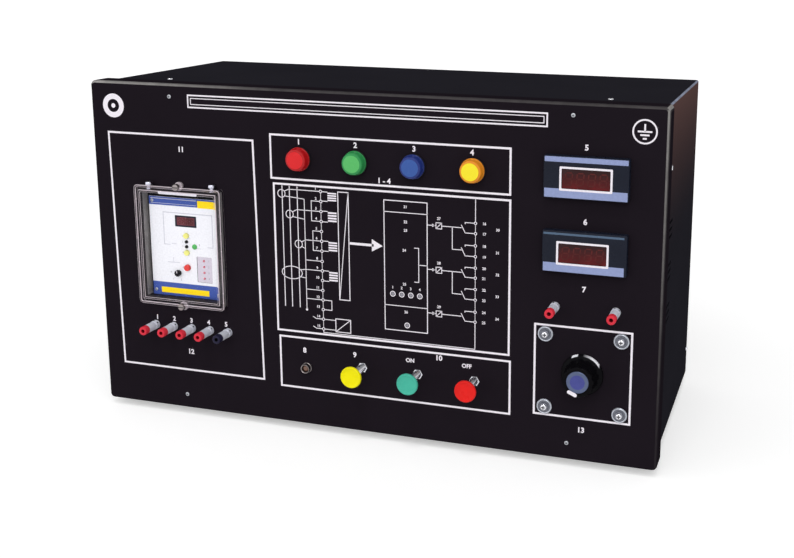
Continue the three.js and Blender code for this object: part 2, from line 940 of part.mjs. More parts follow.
// Relay module: white face with its window and lamp field, on the chassis that fills the case.
function relayModule() {
  const faceBack = face.depth + face.thickness;
  const plate = slab(
    roundedRectangle(face.width, face.height, face.cornerRadius),
    face.depth,
    faceBack + face.thickness / 2,
    facePlace,
  );
  const chassis = slab(
    drawnIn(cavityWidth, cavityHeight, seat, relay.cornerRadius),
    faceBack,
    relay.bodyDepth - relay.wallThickness - seat,
    relayPlace,
  );
  const recess = (width, height, depth, place) =>
    slab(
      roundedRectangle(width, height, face.cornerRadius),
      face.depth - overrun,
      face.depth + depth,
      place,
    );
  const cuts = [
    recess(face.windowWidth, face.windowHeight, face.windowDepth, onFace(windowShares)),
    recess(face.lightsWidth, face.lightsHeight, face.lightsDepth, onFace(lightsShares)),
    ...Object.entries(keyShares).map(([name, shares]) => {
      const size = keySizes[name];
      const bottom = face.depth + size.stem + size.travel + seat;
      return rod(size.radius + seat, face.depth - overrun, bottom, onFace(shares), facets.small);
    }),
    rod(
      selector.stemRadius + seat,
      face.depth - overrun,
      face.depth + selector.stem + seat,
      selectorPlace,
      facets.small,
    ),
  ];
  return cuts.reduce((body, cut) => body.subtract(cut), plate.add(chassis));
}

// A key of the relay: a round cap whose stem sits in the face.
function relayKey(name) {
  const size = keySizes[name];
  const front = face.depth - size.reach;
  const edge = size.radius / 6;
  return turned(
    [
      [0, front],
      [size.radius - edge, front],
      [size.radius, front + edge],
      [size.radius, face.depth + size.stem],
      [0, face.depth + size.stem],
    ],
    facets.small,
    onFace(keyShares[name]),
  );
}

// Selector knob of the relay: a fluted cap on a thin stem.
function relaySelector() {
  const cap = slab(
    flutedOutline(selector.radius, selector.flutes, selector.fluteDepth),
    face.depth - selector.reach,
    face.depth - selector.gap,
    selectorPlace,
  );
  const stem = rod(
    selector.stemRadius,
    face.depth - selector.reach / 2,
    face.depth + selector.stem,
    selectorPlace,
    facets.small,
  );
  return cap.add(stem);
}

// Groove that runs round the front of the clear cover, behind its outer ridge.
function coverGroove() {
  const ring = (inset, front, back) =>
    slab(drawnIn(coverWidth, coverHeight, inset, cover.cornerRadius), front, back, relayPlace);
  const bottom = -cover.reach + cover.grooveDepth;
  const island = ring(cover.ridgeWidth + cover.grooveWidth, -cover.reach - 2 * overrun, bottom + overrun);
  return ring(cover.ridgeWidth, -cover.reach - overrun, bottom).subtract(island);
}

// Clear cover: a shallow box over the relay, with a pocket for a thumbscrew at each end.
function relayCover() {
  const pocketRadius = thumb.headRadius + seat;
  const earRadius = pocketRadius + thumb.pocketWallThickness;
  const places = Object.values(thumbPlaces);
  let outside = slab(
    roundedRectangle(coverWidth, coverHeight, cover.cornerRadius),
    -cover.reach,
    panelFront,
    relayPlace,
  );
  let inside = slab(
    drawnIn(coverWidth, coverHeight, cover.wallThickness, cover.cornerRadius),
    coverInside,
    panelFront + overrun,
    relayPlace,
  );
  for (const place of places) {
    outside = outside.add(rod(earRadius, pocketFloorFront, panelFront, place));
    inside = inside.subtract(rod(earRadius, -cover.reach, pocketFloorBack, place));
  }
  const cuts = places.flatMap((place) => [
    rod(pocketRadius, -cover.reach - overrun, pocketFloorFront, place),
    rod(thumb.shankRadius + seat, -cover.reach, panelFront + overrun, place, facets.small),
  ]);
  cuts.push(coverGroove());
  return cuts.reduce((shell, cut) => shell.subtract(cut), outside.subtract(inside));
}

// Thumbscrew of the cover: notched head and plain shank.
function thumbscrew(place) {
  const back = pocketFloorFront - seat;
  const head = slab(
    flutedOutline(thumb.headRadius, thumb.notches, thumb.notchDepth),
    back - thumb.headThickness,
    back,
    place,
  );
  return head.add(
    rod(thumb.shankRadius, back - thumb.headThickness / 2, thumb.shankEnd, place, facets.small),
  );
}

// Fixed part of a binding post: collar with cross holes, threaded stud, neck and nut at the panel.
function postBase(place) {
  const collarFront = panelFront - post.collarLength;
  const body = turned(
    [
      [0, -post.studReach],
      [post.studRadius, -post.studReach],
      [post.studRadius, collarFront],
      [post.collarRadius - post.edgeRadius, collarFront],
      [post.collarRadius, collarFront + post.edgeRadius],
      [post.collarRadius, panelFront],
      [post.neckRadius, panelFront],
      [post.neckRadius, panelBack + post.nutThickness / 2],
      [post.studRadius, panelBack + post.nutThickness / 2],
      [post.studRadius, post.studDepth],
      [0, post.studDepth],
    ],
    facets.small,
    place,
  );
  const nut = slab(
    polygonOutline(hexagonRadius(post.nutAcross), 6),
    panelBack,
    panelBack + post.nutThickness,
    place,
  );
  const drill = new THREE.CylinderGeometry(
    post.crossRadius,
    post.crossRadius,
    2 * post.collarRadius + 2 * overrun,
    facets.drill,
  );
  const middle = panelFront - post.collarLength / 2;
  const upright = drill.clone().rotateX(Math.PI / 2).translate(place.x, middle, place.z);
  const level = drill.clone().rotateZ(Math.PI / 2).translate(place.x, middle, place.z);
  return body.add(nut).subtract(solid(upright)).subtract(solid(level));
}

// Screw cap of a binding post: barrel bored for the stud, wider end with a plug socket.
function postCap(place) {
  const back = panelFront - post.collarLength - seat;
  const front = -post.reach;
  const endBack = front + post.endLength;
  const e = post.edgeRadius;
  return turned(
    [
      [0, back - post.boreDepth],
      [post.studRadius + seat, back - post.boreDepth],
      [post.studRadius + seat, back],
      [post.capRadius - e, back],
      [post.capRadius, back - e],
      [post.capRadius, endBack],
      [post.endRadius, endBack - e],
      [post.endRadius, front + e],
      [post.endRadius - e, front],
      [post.socketRadius + e, front],
      [post.socketRadius, front + e],
      [post.socketRadius, front + post.socketDepth],
      [0, front + post.socketDepth],
    ],
    facets.small,
    place,
  );
}

const knobBack = -knob.standOff;

// Control knob: skirt, fluted grip that tapers to the front, recess for the inlay and bore for the shaft.
function controlKnob() {
  const front = -knob.reach;
  const skirtFront = knobBack - knob.skirtThickness;
  const skirt = turned(
    [
      [0, knobBack],
      [knob.skirtRadius, knobBack],
      [knob.skirtRadius, skirtFront + knob.edgeRadius],
      [knob.skirtRadius - knob.edgeRadius, skirtFront],
      [0, skirtFront - knob.edgeRadius],
    ],
    facets.fine,
    knobPlace,
  );
  const grip = slab(
    flutedOutline(knob.bodyRadius, knob.flutes, knob.fluteDepth),
    front,
    skirtFront + knob.edgeRadius,
    knobPlace,
  );
  const taper = turned(
    [
      [0, front],
      [knob.frontRadius - knob.edgeRadius, front],
      [knob.frontRadius, front + knob.edgeRadius],
      [knob.bodyRadius, skirtFront],
      [knob.bodyRadius, knobBack],
      [0, knobBack],
    ],
    facets.fine,
    knobPlace,
  );
  const inlayRecess = rod(
    knob.inlayRadius + seat,
    front - overrun,
    front + knob.inlayDepth + seat,
    knobPlace,
    facets.fine,
  );
  const bore = rod(variac.shaftRadius + seat / 2, knobBack - knob.boreDepth, overrun, knobPlace);
  return grip.intersect(taper).add(skirt).subtract(inlayRecess).subtract(bore);
}

function knobInlay() {
  return rod(knob.inlayRadius, -knob.reach, -knob.reach + knob.inlayDepth, knobPlace, facets.fine);
}

// Planes of the variable transformer behind the panel
const plateBack = panelBack + variac.plateThickness;
const ringFront = plateBack + seat;
const ringBack = ringFront + variac.ringDepth;
const armFront = ringBack + variac.brushReach;

// Shaft with its collar, and the brush arm that runs over the back of the winding.
function variacRotor() {
  const shaft = rod(
    variac.shaftRadius,
    knobBack - knob.boreDepth + seat,
    armFront + 2 * variac.armThickness,
    knobPlace,
  );
  const collar = rod(variac.collarRadius, armFront, armFront + 2 * variac.armThickness, knobPlace);
  const brushRadius = (variac.ringRadius + variac.holeRadius) / 2;
  const half = variac.armWidth / 2;
  const arm = block(
    [knobPlace.x - half, armFront, knobPlace.z - brushRadius - variac.brushSize],
    [knobPlace.x + half, armFront + variac.armThickness, knobPlace.z],
  );
  const brush = block(
    [
      knobPlace.x - variac.brushSize / 2,
      ringBack + seat,
      knobPlace.z - brushRadius - variac.brushSize / 2,
    ],
    [
      knobPlace.x + variac.brushSize / 2,
      armFront + variac.armThickness / 2,
      knobPlace.z - brushRadius + variac.brushSize / 2,
    ],
  );
  return shaft.add(collar).add(arm).add(brush);
}

// Frame plate of the variable transformer with its bearing hub and the four screws that hold it.
function variacFrame() {
  const plate = slab(
    roundedRectangle(variac.plateSize, variac.plateSize, variac.plateCornerRadius),
    panelBack,
    plateBack,
    knobPlace,
  );
  const hub = rod(variac.hubRadius, panelBack, plateBack + variac.hubDepth, knobPlace);
  const bearing = rod(
    variac.shaftRadius + seat,
    panelBack - overrun,
    plateBack + variac.hubDepth + overrun,
    knobPlace,
  );
  const washerFront = panelFront - variac.washerThickness;
  const screws = variacScrews.map((place) =>
    turned(
      [
        [0, washerFront - variac.headReach],
        [variac.headRadius / 2, washerFront - variac.headReach],
        [variac.headRadius * headShares.radius, washerFront - variac.headReach * headShares.reach],
        [variac.headRadius, washerFront],
        [variac.washerRadius, washerFront],
        [variac.washerRadius, panelFront],
        [variac.screwRadius, panelFront],
        [variac.screwRadius, plateBack - seat],
        [0, plateBack - seat],
      ],
      facets.small,
      place,
    ),
  );
  return screws.reduce((frame, screw) => frame.add(screw), plate.add(hub)).subtract(bearing);
}

// Wound ring of the variable transformer.
function variacWinding() {
  const e = variac.ringEdgeRadius;
  const cut = e / 3;
  const profile = [
    [variac.holeRadius, ringFront + e],
    [variac.holeRadius + cut, ringFront + cut],
    [variac.holeRadius + e, ringFront],
    [variac.ringRadius - e, ringFront],
    [variac.ringRadius - cut, ringFront + cut],
    [variac.ringRadius, ringFront + e],
    [variac.ringRadius, ringBack - e],
    [variac.ringRadius - cut, ringBack - cut],
    [variac.ringRadius - e, ringBack],
    [variac.holeRadius + e, ringBack],
    [variac.holeRadius + cut, ringBack - cut],
    [variac.holeRadius, ringBack - e],
    [variac.holeRadius, ringFront + e],
  ];
  return turned(profile, facets.plain, knobPlace);
}

// Current injection transformer: laminated core on its foot, with the coil round its middle limb.
function injectorTransformer() {
  const t = transformer;
  const x = transformerShares.x * panel.width;
  const y = transformerShares.y * cabinet.depth;
  const base = block(
    [x - t.footWidth / 2, y - t.footDepth / 2, trayFloor],
    [x + t.footWidth / 2, y + t.footDepth / 2, trayFloor + t.footThickness],
  );
  const core = block(
    [x - t.coreWidth / 2, y - t.coreDepth / 2, trayFloor],
    [x + t.coreWidth / 2, y + t.coreDepth / 2, trayFloor + t.coreHeight],
  );
  const middle = trayFloor + t.coreHeight / 2;
  const coil = slab(
    roundedRectangle(t.coilWidth, t.coilHeight, t.coilCornerRadius),
    y - t.coilDepth / 2,
    y + t.coilDepth / 2,
    { x, z: middle },
  );
  return base.add(core).add(coil);
}

// Control board on stand-offs, with its relays, terminal strip and capacitor.
function controlBoard() {
  const b = board;
  const x = boardShares.x * panel.width;
  const y = boardShares.y * cabinet.depth;
  const bottom = trayFloor + b.standOff;
  const top = bottom + b.thickness;
  const pillar = (radius, px, py, low, high) => {
    const geometry = new THREE.CylinderGeometry(radius, radius, high - low, facets.small);
    geometry.rotateX(Math.PI / 2);
    geometry.translate(px, py, (low + high) / 2);
    return solid(geometry);
  };
  let made = block(
    [x - b.width / 2, y - b.depth / 2, bottom],
    [x + b.width / 2, y + b.depth / 2, top],
  );
  for (const sx of [-1, 1]) {
    for (const sy of [-1, 1]) {
      const px = x + sx * (b.width / 2 - b.rimWidth);
      const py = y + sy * (b.depth / 2 - b.rimWidth);
      made = made.add(pillar(b.standOffRadius, px, py, trayFloor, bottom + b.thickness / 2));
    }
  }
  const pitch = (b.width - 4 * b.rimWidth) / b.relays;
  for (let i = 0; i < b.relays; i++) {
    const rx = x + (i - (b.relays - 1) / 2) * pitch;
    made = made.add(
      block(
        [rx - b.relayWidth / 2, y - b.relayLength / 2, bottom],
        [rx + b.relayWidth / 2, y + b.relayLength / 2, top + b.relayHeight],
      ),
    );
  }
  const strip = block(
    [x - b.width / 2 + 2 * b.rimWidth, y + b.depth / 2 - b.rimWidth - b.terminalDepth, bottom],
    [x + b.width / 2 - 2 * b.rimWidth, y + b.depth / 2 - b.rimWidth, top + b.terminalHeight],
  );
  const capacitorY = y - b.depth / 2 + b.rimWidth + b.capacitorRadius;
  return made.add(strip).add(pillar(b.capacitorRadius, x, capacitorY, bottom, top + b.capacitorHeight));
}

// Mains inlet: flange outside the back panel, body inside, socket with its three flat pins.
function mainsInlet() {
  const outer = cabinet.depth + seat;
  const face = outer + inlet.flangeThickness;
  const flange = slab(
    roundedRectangle(inlet.flangeWidth, inlet.flangeHeight, inlet.flangeCornerRadius),
    outer,
    face,
    inletPlace,
  );
  const body = slab(
    roundedRectangle(inlet.bodyWidth, inlet.bodyHeight, inlet.socketCornerRadius),
    cabinet.depth - inlet.bodyDepth,
    outer + inlet.flangeThickness / 2,
    inletPlace,
  );
  const floor = face - inlet.socketDepth;
  const socket = slab(
    roundedRectangle(inlet.socketWidth, inlet.socketHeight, inlet.socketCornerRadius),
    floor,
    face + overrun,
    inletPlace,
  );
  const rise = inlet.pinHeight / 2;
  const pinPlaces = [
    { x: inletPlace.x - inlet.pinSpacing / 2, z: inletPlace.z - rise },
    { x: inletPlace.x + inlet.pinSpacing / 2, z: inletPlace.z - rise },
    { x: inletPlace.x, z: inletPlace.z + rise },
  ];
  const pins = pinPlaces.map((place) =>
    block(
      [place.x - inlet.pinWidth / 2, floor - seat, place.z - inlet.pinHeight / 2],
      [place.x + inlet.pinWidth / 2, floor + inlet.pinLength, place.z + inlet.pinHeight / 2],
    ),
  );
  return pins.reduce((made, pin) => made.add(pin), flange.add(body).subtract(socket));
}

// Cabinet
addPiece("front_panel", frontPanel(), finish.blackPowder);
addPiece("wrap_cover", wrapCover(), finish.blackPowder);
addPiece("base_tray", baseTray(), finish.blackPowder);
addPiece("back_panel", backPanel(), finish.blackPowder);
for (const [name, place] of Object.entries(footPlaces)) {
  addPiece(`foot_${name}`, footPiece(place), finish.footPlastic);
}

// Lamps and buttons
lampNames.forEach((name, i) => {
  addPiece(`lamp_lens_${name}`, lampLens(lampPlaces[i]), finish[name]);
  addPiece(`lamp_holder_${name}`, lampHolder(lampPlaces[i]), finish.blackPlastic);
});
buttonNames.forEach((name, i) => {
  addPiece(`button_head_${name}`, buttonHead(buttonPlaces[i]), finish[name]);
  addPiece(`button_body_${name}`, buttonBody(buttonPlaces[i]), finish.chrome);
});
addPiece("power_light", powerLight(), finish.chrome);

// Meters
for (const [name, place] of Object.entries(meterPlaces)) {
  addPiece(`${name}_case`, meterCase(place), finish.blackPlastic);
  addPiece(`${name}_window`, meterWindow(place), finish.windowRed);
}

// Relay
addPiece("relay_case", relayCase(), finish.blackPlastic);
addPiece("relay_module", relayModule(), finish.faceWhite);
addPiece("relay_cover", relayCover(), finish.clear);
for (const [name, place] of Object.entries(thumbPlaces)) {
  addPiece(`relay_thumbscrew_${name}`, thumbscrew(place), finish.chrome);
}
for (const name of Object.keys(keyShares)) {
  addPiece(name, relayKey(name), keyFinishes[name]);
}
addPiece("relay_selector", relaySelector(), finish.blackPlastic);

// Binding posts
[...inputPosts, ...outputPosts].forEach((name, i) => {
  addPiece(`post_base_${name}`, postBase(postPlaces[i]), finish.nickel);
  addPiece(`post_cap_${name}`, postCap(postPlaces[i]), finish.nickel);
});

// Variable transformer and its knob
addPiece("control_knob", controlKnob(), finish.blackPlastic);
addPiece("knob_inlay", knobInlay(), finish.blueMetal);
addPiece("variac_rotor", variacRotor(), finish.steel);
addPiece("variac_frame", variacFrame(), finish.chrome);
addPiece("variac_winding", variacWinding(), finish.copper);

// Inside and back
addPiece("injector_transformer", injectorTransformer(), finish.steel);
addPiece("control_board", controlBoard(), finish.boardGreen);
addPiece("mains_inlet", mainsInlet(), finish.blackPlastic);

// The footprint's centre goes to the origin.
const reach = new THREE.Box3().setFromObject(kit);
kit.position.y = -(reach.min.y + reach.max.y) / 2;

export default kit;
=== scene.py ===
"""Dresses the relay testing kit: a black sheet-metal cabinet with a relay, lamps, meters and posts.

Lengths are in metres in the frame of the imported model: X to the right along the front panel, Y from
the panel to the back and Z up. Pieces on the panel are drawn in a seat of their own, in which the third
axis points out of the panel towards the viewer.
"""

import logging
import math
from collections.abc import Iterable, Sequence
from dataclasses import dataclass
from enum import Enum

import bmesh
import bpy
from mathutils import Matrix, Vector
from mathutils.geometry import tessellate_polygon


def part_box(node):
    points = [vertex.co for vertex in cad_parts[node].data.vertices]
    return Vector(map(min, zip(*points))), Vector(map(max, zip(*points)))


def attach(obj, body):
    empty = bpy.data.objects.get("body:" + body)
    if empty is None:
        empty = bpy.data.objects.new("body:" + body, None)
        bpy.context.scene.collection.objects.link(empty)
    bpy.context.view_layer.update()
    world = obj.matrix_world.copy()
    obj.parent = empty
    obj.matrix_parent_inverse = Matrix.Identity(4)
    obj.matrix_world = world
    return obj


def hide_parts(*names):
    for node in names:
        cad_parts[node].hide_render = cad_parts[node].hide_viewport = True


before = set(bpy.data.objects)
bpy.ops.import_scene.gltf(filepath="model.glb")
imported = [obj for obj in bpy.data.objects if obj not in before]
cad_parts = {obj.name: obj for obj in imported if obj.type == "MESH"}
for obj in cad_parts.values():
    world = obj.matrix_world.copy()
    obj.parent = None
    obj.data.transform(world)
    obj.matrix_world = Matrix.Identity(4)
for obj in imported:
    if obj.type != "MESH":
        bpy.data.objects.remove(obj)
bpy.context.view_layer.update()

MM = 0.001
UNIT = 1.2 * MM  # one unit of the panel's artwork
IMAGE_WIDTH = 794
SENSOR_WIDTH = 36.0
CABINET = "cabinet"

Point = tuple[float, float]
Section = tuple[list[Point], float]
Colour = tuple[float, float, float]

log = logging.getLogger("relay_testing_kit")


def channel(value: int) -> float:
    """Returns one channel of a display colour as a linear value."""
    share = value / 255
    return share / 12.92 if share <= 0.04045 else ((share + 0.055) / 1.055) ** 2.4


def linear(red: int, green: int, blue: int) -> Colour:
    """Returns a display colour of 0 to 255 as the linear values that a shader takes."""
    return channel(red), channel(green), channel(blue)


# Finishes


class Grain(Enum):
    """How a metal surface was worked."""

    POLISHED = "polished"
    BRUSHED = "brushed"
    SPUN = "spun"


class Shader:
    """One node material with its principled shader, and short ways to add nodes to it."""

    def __init__(self, name: str) -> None:
        """Starts the material.

        Args:
            name: name of the material.
        """
        self.material = bpy.data.materials.new(name)
        self.material.use_nodes = True
        self.tree = self.material.node_tree
        self.surface = self.tree.nodes["Principled BSDF"]
        self.place = self.tree.nodes.new("ShaderNodeTexCoord").outputs["Object"]

    def set(self, **values: float | tuple) -> None:
        """Sets sockets of the principled shader, with underscores for the spaces in their names."""
        for name, value in values.items():
            self.surface.inputs[name.replace("_", " ")].default_value = value

    def link(self, output: bpy.types.NodeSocket, name: str) -> None:
        """Feeds an output into a socket of the principled shader."""
        self.tree.links.new(output, self.surface.inputs[name])

    def node(self, kind: str, settings: dict | None = None, inputs: dict | None = None) -> bpy.types.Node:
        """Adds a node.

        Args:
            kind: the node's type, without its ShaderNode prefix.
            settings: properties of the node.
            inputs: values or outputs for its sockets, by name or number.

        Returns:
            The new node.
        """
        made = self.tree.nodes.new("ShaderNode" + kind)
        for name, value in (settings or {}).items():
            setattr(made, name, value)
        for key, value in (inputs or {}).items():
            if isinstance(value, bpy.types.NodeSocket):
                self.tree.links.new(value, made.inputs[key])
            else:
                made.inputs[key].default_value = value
        return made

    def stretched(self, scale: tuple[float, float, float], shift: tuple = (0, 0, 0)) -> bpy.types.NodeSocket:
        """Returns the object's coordinates moved by shift and then scaled along each axis."""
        moved = self.node("VectorMath", {"operation": "SUBTRACT"}, {0: self.place, 1: shift})
        scaled = self.node("VectorMath", {"operation": "MULTIPLY"}, {0: moved.outputs[0], 1: scale})
        return scaled.outputs[0]

    def noise(
        self, scale: float, detail: float = 3, place: bpy.types.NodeSocket | None = None
    ) -> bpy.types.NodeSocket:
        """Returns a noise pattern of 0 to 1 with about scale features to the metre."""
        made = self.node(
            "TexNoise", inputs={"Vector": place or self.place, "Scale": scale, "Detail": detail}
        )
        return made.outputs["Fac"]

    def ranged(self, value: bpy.types.NodeSocket, low: float, high: float) -> bpy.types.NodeSocket:
        """Returns a noise value spread from low to high."""
        made = self.node(
            "MapRange",
            inputs={"Value": value, "From Min": 0.3, "From Max": 0.7, "To Min": low, "To Max": high},
        )
        return made.outputs["Result"]

    def mixed(
        self, share: bpy.types.NodeSocket | float, first: Colour | bpy.types.NodeSocket, second: Colour
    ) -> bpy.types.NodeSocket:
        """Returns a colour between first and second."""
        made = self.node("Mix", {"data_type": "RGBA"}, {"Factor": share})
        for index, value in ((6, first), (7, second)):
            if isinstance(value, bpy.types.NodeSocket):
                self.tree.links.new(value, made.inputs[index])
            else:
                made.inputs[index].default_value = (*value, 1)
        return made.outputs[2]

    def bump(self, height: bpy.types.NodeSocket, strength: float, distance: float) -> None:
        """Raises the surface by a height pattern.

        Args:
            height: the pattern.
            strength: share of the effect.
            distance: height of the pattern in metres.
        """
        inputs = {"Height": height, "Strength": strength, "Distance": distance}
        if self.surface.inputs["Normal"].is_linked:
            inputs["Normal"] = self.surface.inputs["Normal"].links[0].from_socket
        self.link(self.node("Bump", inputs=inputs).outputs["Normal"], "Normal")

    def between(
        self, value: bpy.types.NodeSocket, low: float, high: float, first: float = 0.0, last: float = 1.0
    ) -> bpy.types.NodeSocket:
        """Returns a value that goes from first to last while the given one goes from low to high."""
        inputs = {"Value": value, "From Min": low, "From Max": high, "To Min": first, "To Max": last}
        return self.node("MapRange", inputs=inputs).outputs["Result"]

    def product(self, *values: bpy.types.NodeSocket | float) -> bpy.types.NodeSocket:
        """Returns the product of some values."""
        made = values[0]
        for value in values[1:]:
            made = self.node("Math", {"operation": "MULTIPLY"}, {0: made, 1: value}).outputs[0]
        return made

    def parts(self, vector: bpy.types.NodeSocket) -> list[bpy.types.NodeSocket]:
        """Returns the three components of a vector."""
        return list(self.node("SeparateXYZ", inputs={0: vector}).outputs)

    def radius_about(self, x: float, z: float) -> bpy.types.NodeSocket:
        """Returns the distance from an axis along Y through x and z."""
        moved = self.node("VectorMath", {"operation": "SUBTRACT"}, {0: self.place, 1: (x, 0, z)})
        flat = self.node(
            "VectorMath", {"operation": "MULTIPLY"}, {0: moved.outputs[0], 1: (1, 0, 1)}
        )
        return self.node("VectorMath", {"operation": "LENGTH"}, {0: flat.outputs[0]}).outputs["Value"]


_made_materials: dict[str, bpy.types.Material] = {}


@dataclass(frozen=True)
class Finish:
    """A finish that one or more pieces wear."""

    name: str
    colour: Colour

    def material(self) -> bpy.types.Material:
        """Returns the finish's material, made once."""
        if self.name not in _made_materials:
            shader = Shader(self.name)
            shader.set(Base_Color=(*self.colour, 1))
            self.work(shader)
            _made_materials[self.name] = shader.material
        return _made_materials[self.name]

    def work(self, shader: Shader) -> None:
        """Adds the finish's own nodes to a shader."""
        raise NotImplementedError

    def varied(self, shader: Shader, scale: float, change: float) -> bpy.types.NodeSocket:
        """Returns the finish's colour with slow patches that are darker and lighter by a share."""
        darker = tuple(value * (1 - change) for value in self.colour)
        lighter = tuple(min(value * (1 + change), 1) for value in self.colour)
        return shader.mixed(shader.ranged(shader.noise(scale), 0, 1), darker, lighter)


@dataclass(frozen=True)
class PowderCoat(Finish):
    """Baked powder coat: a fine orange peel, soft sheen, painted highlights along the folds and a painted warm
    reflection high on the sides.
    """

    roughness: float = 0.5
    sheen: float = 0.12
    painted_fold_highlight: Colour = (0.0, 0.0, 0.0)
    fold_highlight_length: float = 0.36
    painted_warm_reflection: Colour = (0.0, 0.0, 0.0)
    warm_reflection_low: float = 0.31
    warm_reflection_high: float = 0.43
    painted_bend_highlight: Colour = (0.0, 0.0, 0.0)

    def work(self, shader: Shader) -> None:
        """Adds peel, sheen, a painted warm reflection high on the sides and painted highlights along the
        folds.
        """
        shader.set(Specular_IOR_Level=self.sheen)
        coat = self.varied(shader, 9, 0.05)
        nx, _, nz = shader.parts(shader.node("NewGeometry").outputs["Normal"])
        x, _, z = shader.parts(shader.place)
        # Painted reflection: a warm brown tone mixed in high on the sides that face sideways.
        if any(self.painted_warm_reflection):
            sideways = shader.between(nx, 0.8, 0.95)
            high = shader.between(z, self.warm_reflection_low, self.warm_reflection_high)
            coat = shader.mixed(shader.product(sideways, high, high), coat, self.painted_warm_reflection)
        # Painted highlights: the coat is lightened along the right and the top fold of the panel.
        if any(self.painted_fold_highlight):
            coat = self._paint_fold_highlights(shader, coat, (nx, nz), (x, z))
        # Painted highlight along the cover's bends, where the normal leans both sideways and up.
        if any(self.painted_bend_highlight):
            bend_highlight_mask = shader.product(
                shader.between(nx, 0.3, 0.5),
                shader.between(nz, 0.3, 0.5),
                shader.ranged(shader.noise(60, 4), 0.6, 1.1),
            )
            coat = shader.mixed(bend_highlight_mask, coat, self.painted_bend_highlight)
        shader.link(coat, "Base Color")
        rough = (self.roughness - 0.05, self.roughness + 0.07)
        shader.link(shader.ranged(shader.noise(30, 5), *rough), "Roughness")
        shader.bump(shader.noise(1100, 2), 0.22, 0.12 * MM)
        shader.bump(shader.noise(260, 1), 0.12, 0.1 * MM)

    def _paint_fold_highlights(
        self,
        shader: Shader,
        coat: bpy.types.NodeSocket,
        normal: tuple[bpy.types.NodeSocket, bpy.types.NodeSocket],
        place: tuple[bpy.types.NodeSocket, bpy.types.NodeSocket],
    ) -> bpy.types.NodeSocket:
        """Paints highlights on the coat along the right and the top fold, most near the upper corners.

        Args:
            shader: the shader.
            coat: the coat's colour so far.
            normal: the surface normal along X and Z.
            place: the place along X and Z.

        Returns:
            The coat's colour with its painted fold highlights.
        """
        uneven = shader.ranged(shader.noise(60, 4), 0.75, 1.1)
        fading = shader.between(place[1], 0.05, self.fold_highlight_length + 0.09, 0.2, 1.0)
        right = shader.product(
            shader.between(normal[0], 0.2, 0.4), shader.between(normal[0], 0.96, 0.82),
            fading, fading, uneven,
        )
        top = shader.product(
            shader.between(normal[1], 0.1, 0.3), shader.between(normal[1], 0.99, 0.9),
            shader.between(place[0], -0.1, -0.34, 0.16, 1.0), uneven,
        )
        painted_fold_highlight = shader.mixed(right, coat, self.painted_fold_highlight)
        return shader.mixed(top, painted_fold_highlight, self.painted_fold_highlight)


@dataclass(frozen=True)
class Ink(Finish):
    """Screen printing ink: matt and slightly uneven."""

    roughness: float = 0.55

    def work(self, shader: Shader) -> None:
        """Adds the unevenness of the print."""
        shader.set(Specular_IOR_Level=0.15)
        shader.link(self.varied(shader, 420, 0.05), "Base Color")
        shader.link(
            shader.ranged(shader.noise(300, 3), self.roughness - 0.1, self.roughness + 0.1), "Roughness"
        )
        shader.bump(shader.noise(1800, 2), 0.15, 0.03 * MM)


@dataclass(frozen=True)
class Metal(Finish):
    """Bare or plated metal, polished, brushed along X or spun about an axis along Y."""

    roughness: float = 0.15
    grain: Grain = Grain.POLISHED
    axis: Point = (0.0, 0.0)
    metallic: float = 1.0

    def work(self, shader: Shader) -> None:
        """Adds the marks of how the metal was worked, and faint handling stains."""
        shader.set(Metallic=self.metallic)
        shader.link(self.varied(shader, 120, 0.08), "Base Color")
        if self.grain is Grain.SPUN:
            rings = shader.radius_about(*self.axis)
            marks = shader.node(
                "TexNoise", {"noise_dimensions": "1D"}, {"W": rings, "Scale": 2600, "Detail": 4}
            ).outputs["Fac"]
            depth = 0.05 * MM
        elif self.grain is Grain.BRUSHED:
            marks = shader.noise(1, 4, shader.stretched((60, 1800, 1800)))
            depth = 0.04 * MM
        else:
            marks = shader.noise(1, 3, shader.stretched((400, 3200, 400)))
            depth = 0.01 * MM
        stains = shader.noise(90, 5)
        both = shader.node("Math", {"operation": "MULTIPLY_ADD"}, {0: marks, 1: 0.5, 2: stains}).outputs[0]
        spread = shader.node(
            "MapRange",
            inputs={
                "Value": both,
                "From Min": 0.5,
                "From Max": 1.0,
                "To Min": self.roughness * 0.75,
                "To Max": self.roughness * 1.4,
            },
        )
        shader.link(spread.outputs["Result"], "Roughness")
        shader.bump(marks, 0.35, depth)


@dataclass(frozen=True)
class Moulded(Finish):
    """Moulded plastic: a faint flow pattern, fine texture and rub marks in the gloss."""

    roughness: float = 0.35
    texture: float = 900.0
    depth: float = 0.03 * MM
    glow: float = 0.0
    gloss: float = 0.12

    def work(self, shader: Shader) -> None:
        """Adds flow, texture and rub marks."""
        shader.set(Specular_IOR_Level=self.gloss)
        shader.link(self.varied(shader, 55, 0.07), "Base Color")
        shader.link(
            shader.ranged(shader.noise(140, 5), self.roughness - 0.08, self.roughness + 0.1), "Roughness"
        )
        shader.bump(shader.noise(self.texture, 2), 0.3, self.depth)
        if self.glow:
            shader.set(Emission_Color=(*self.colour, 1), Emission_Strength=self.glow)


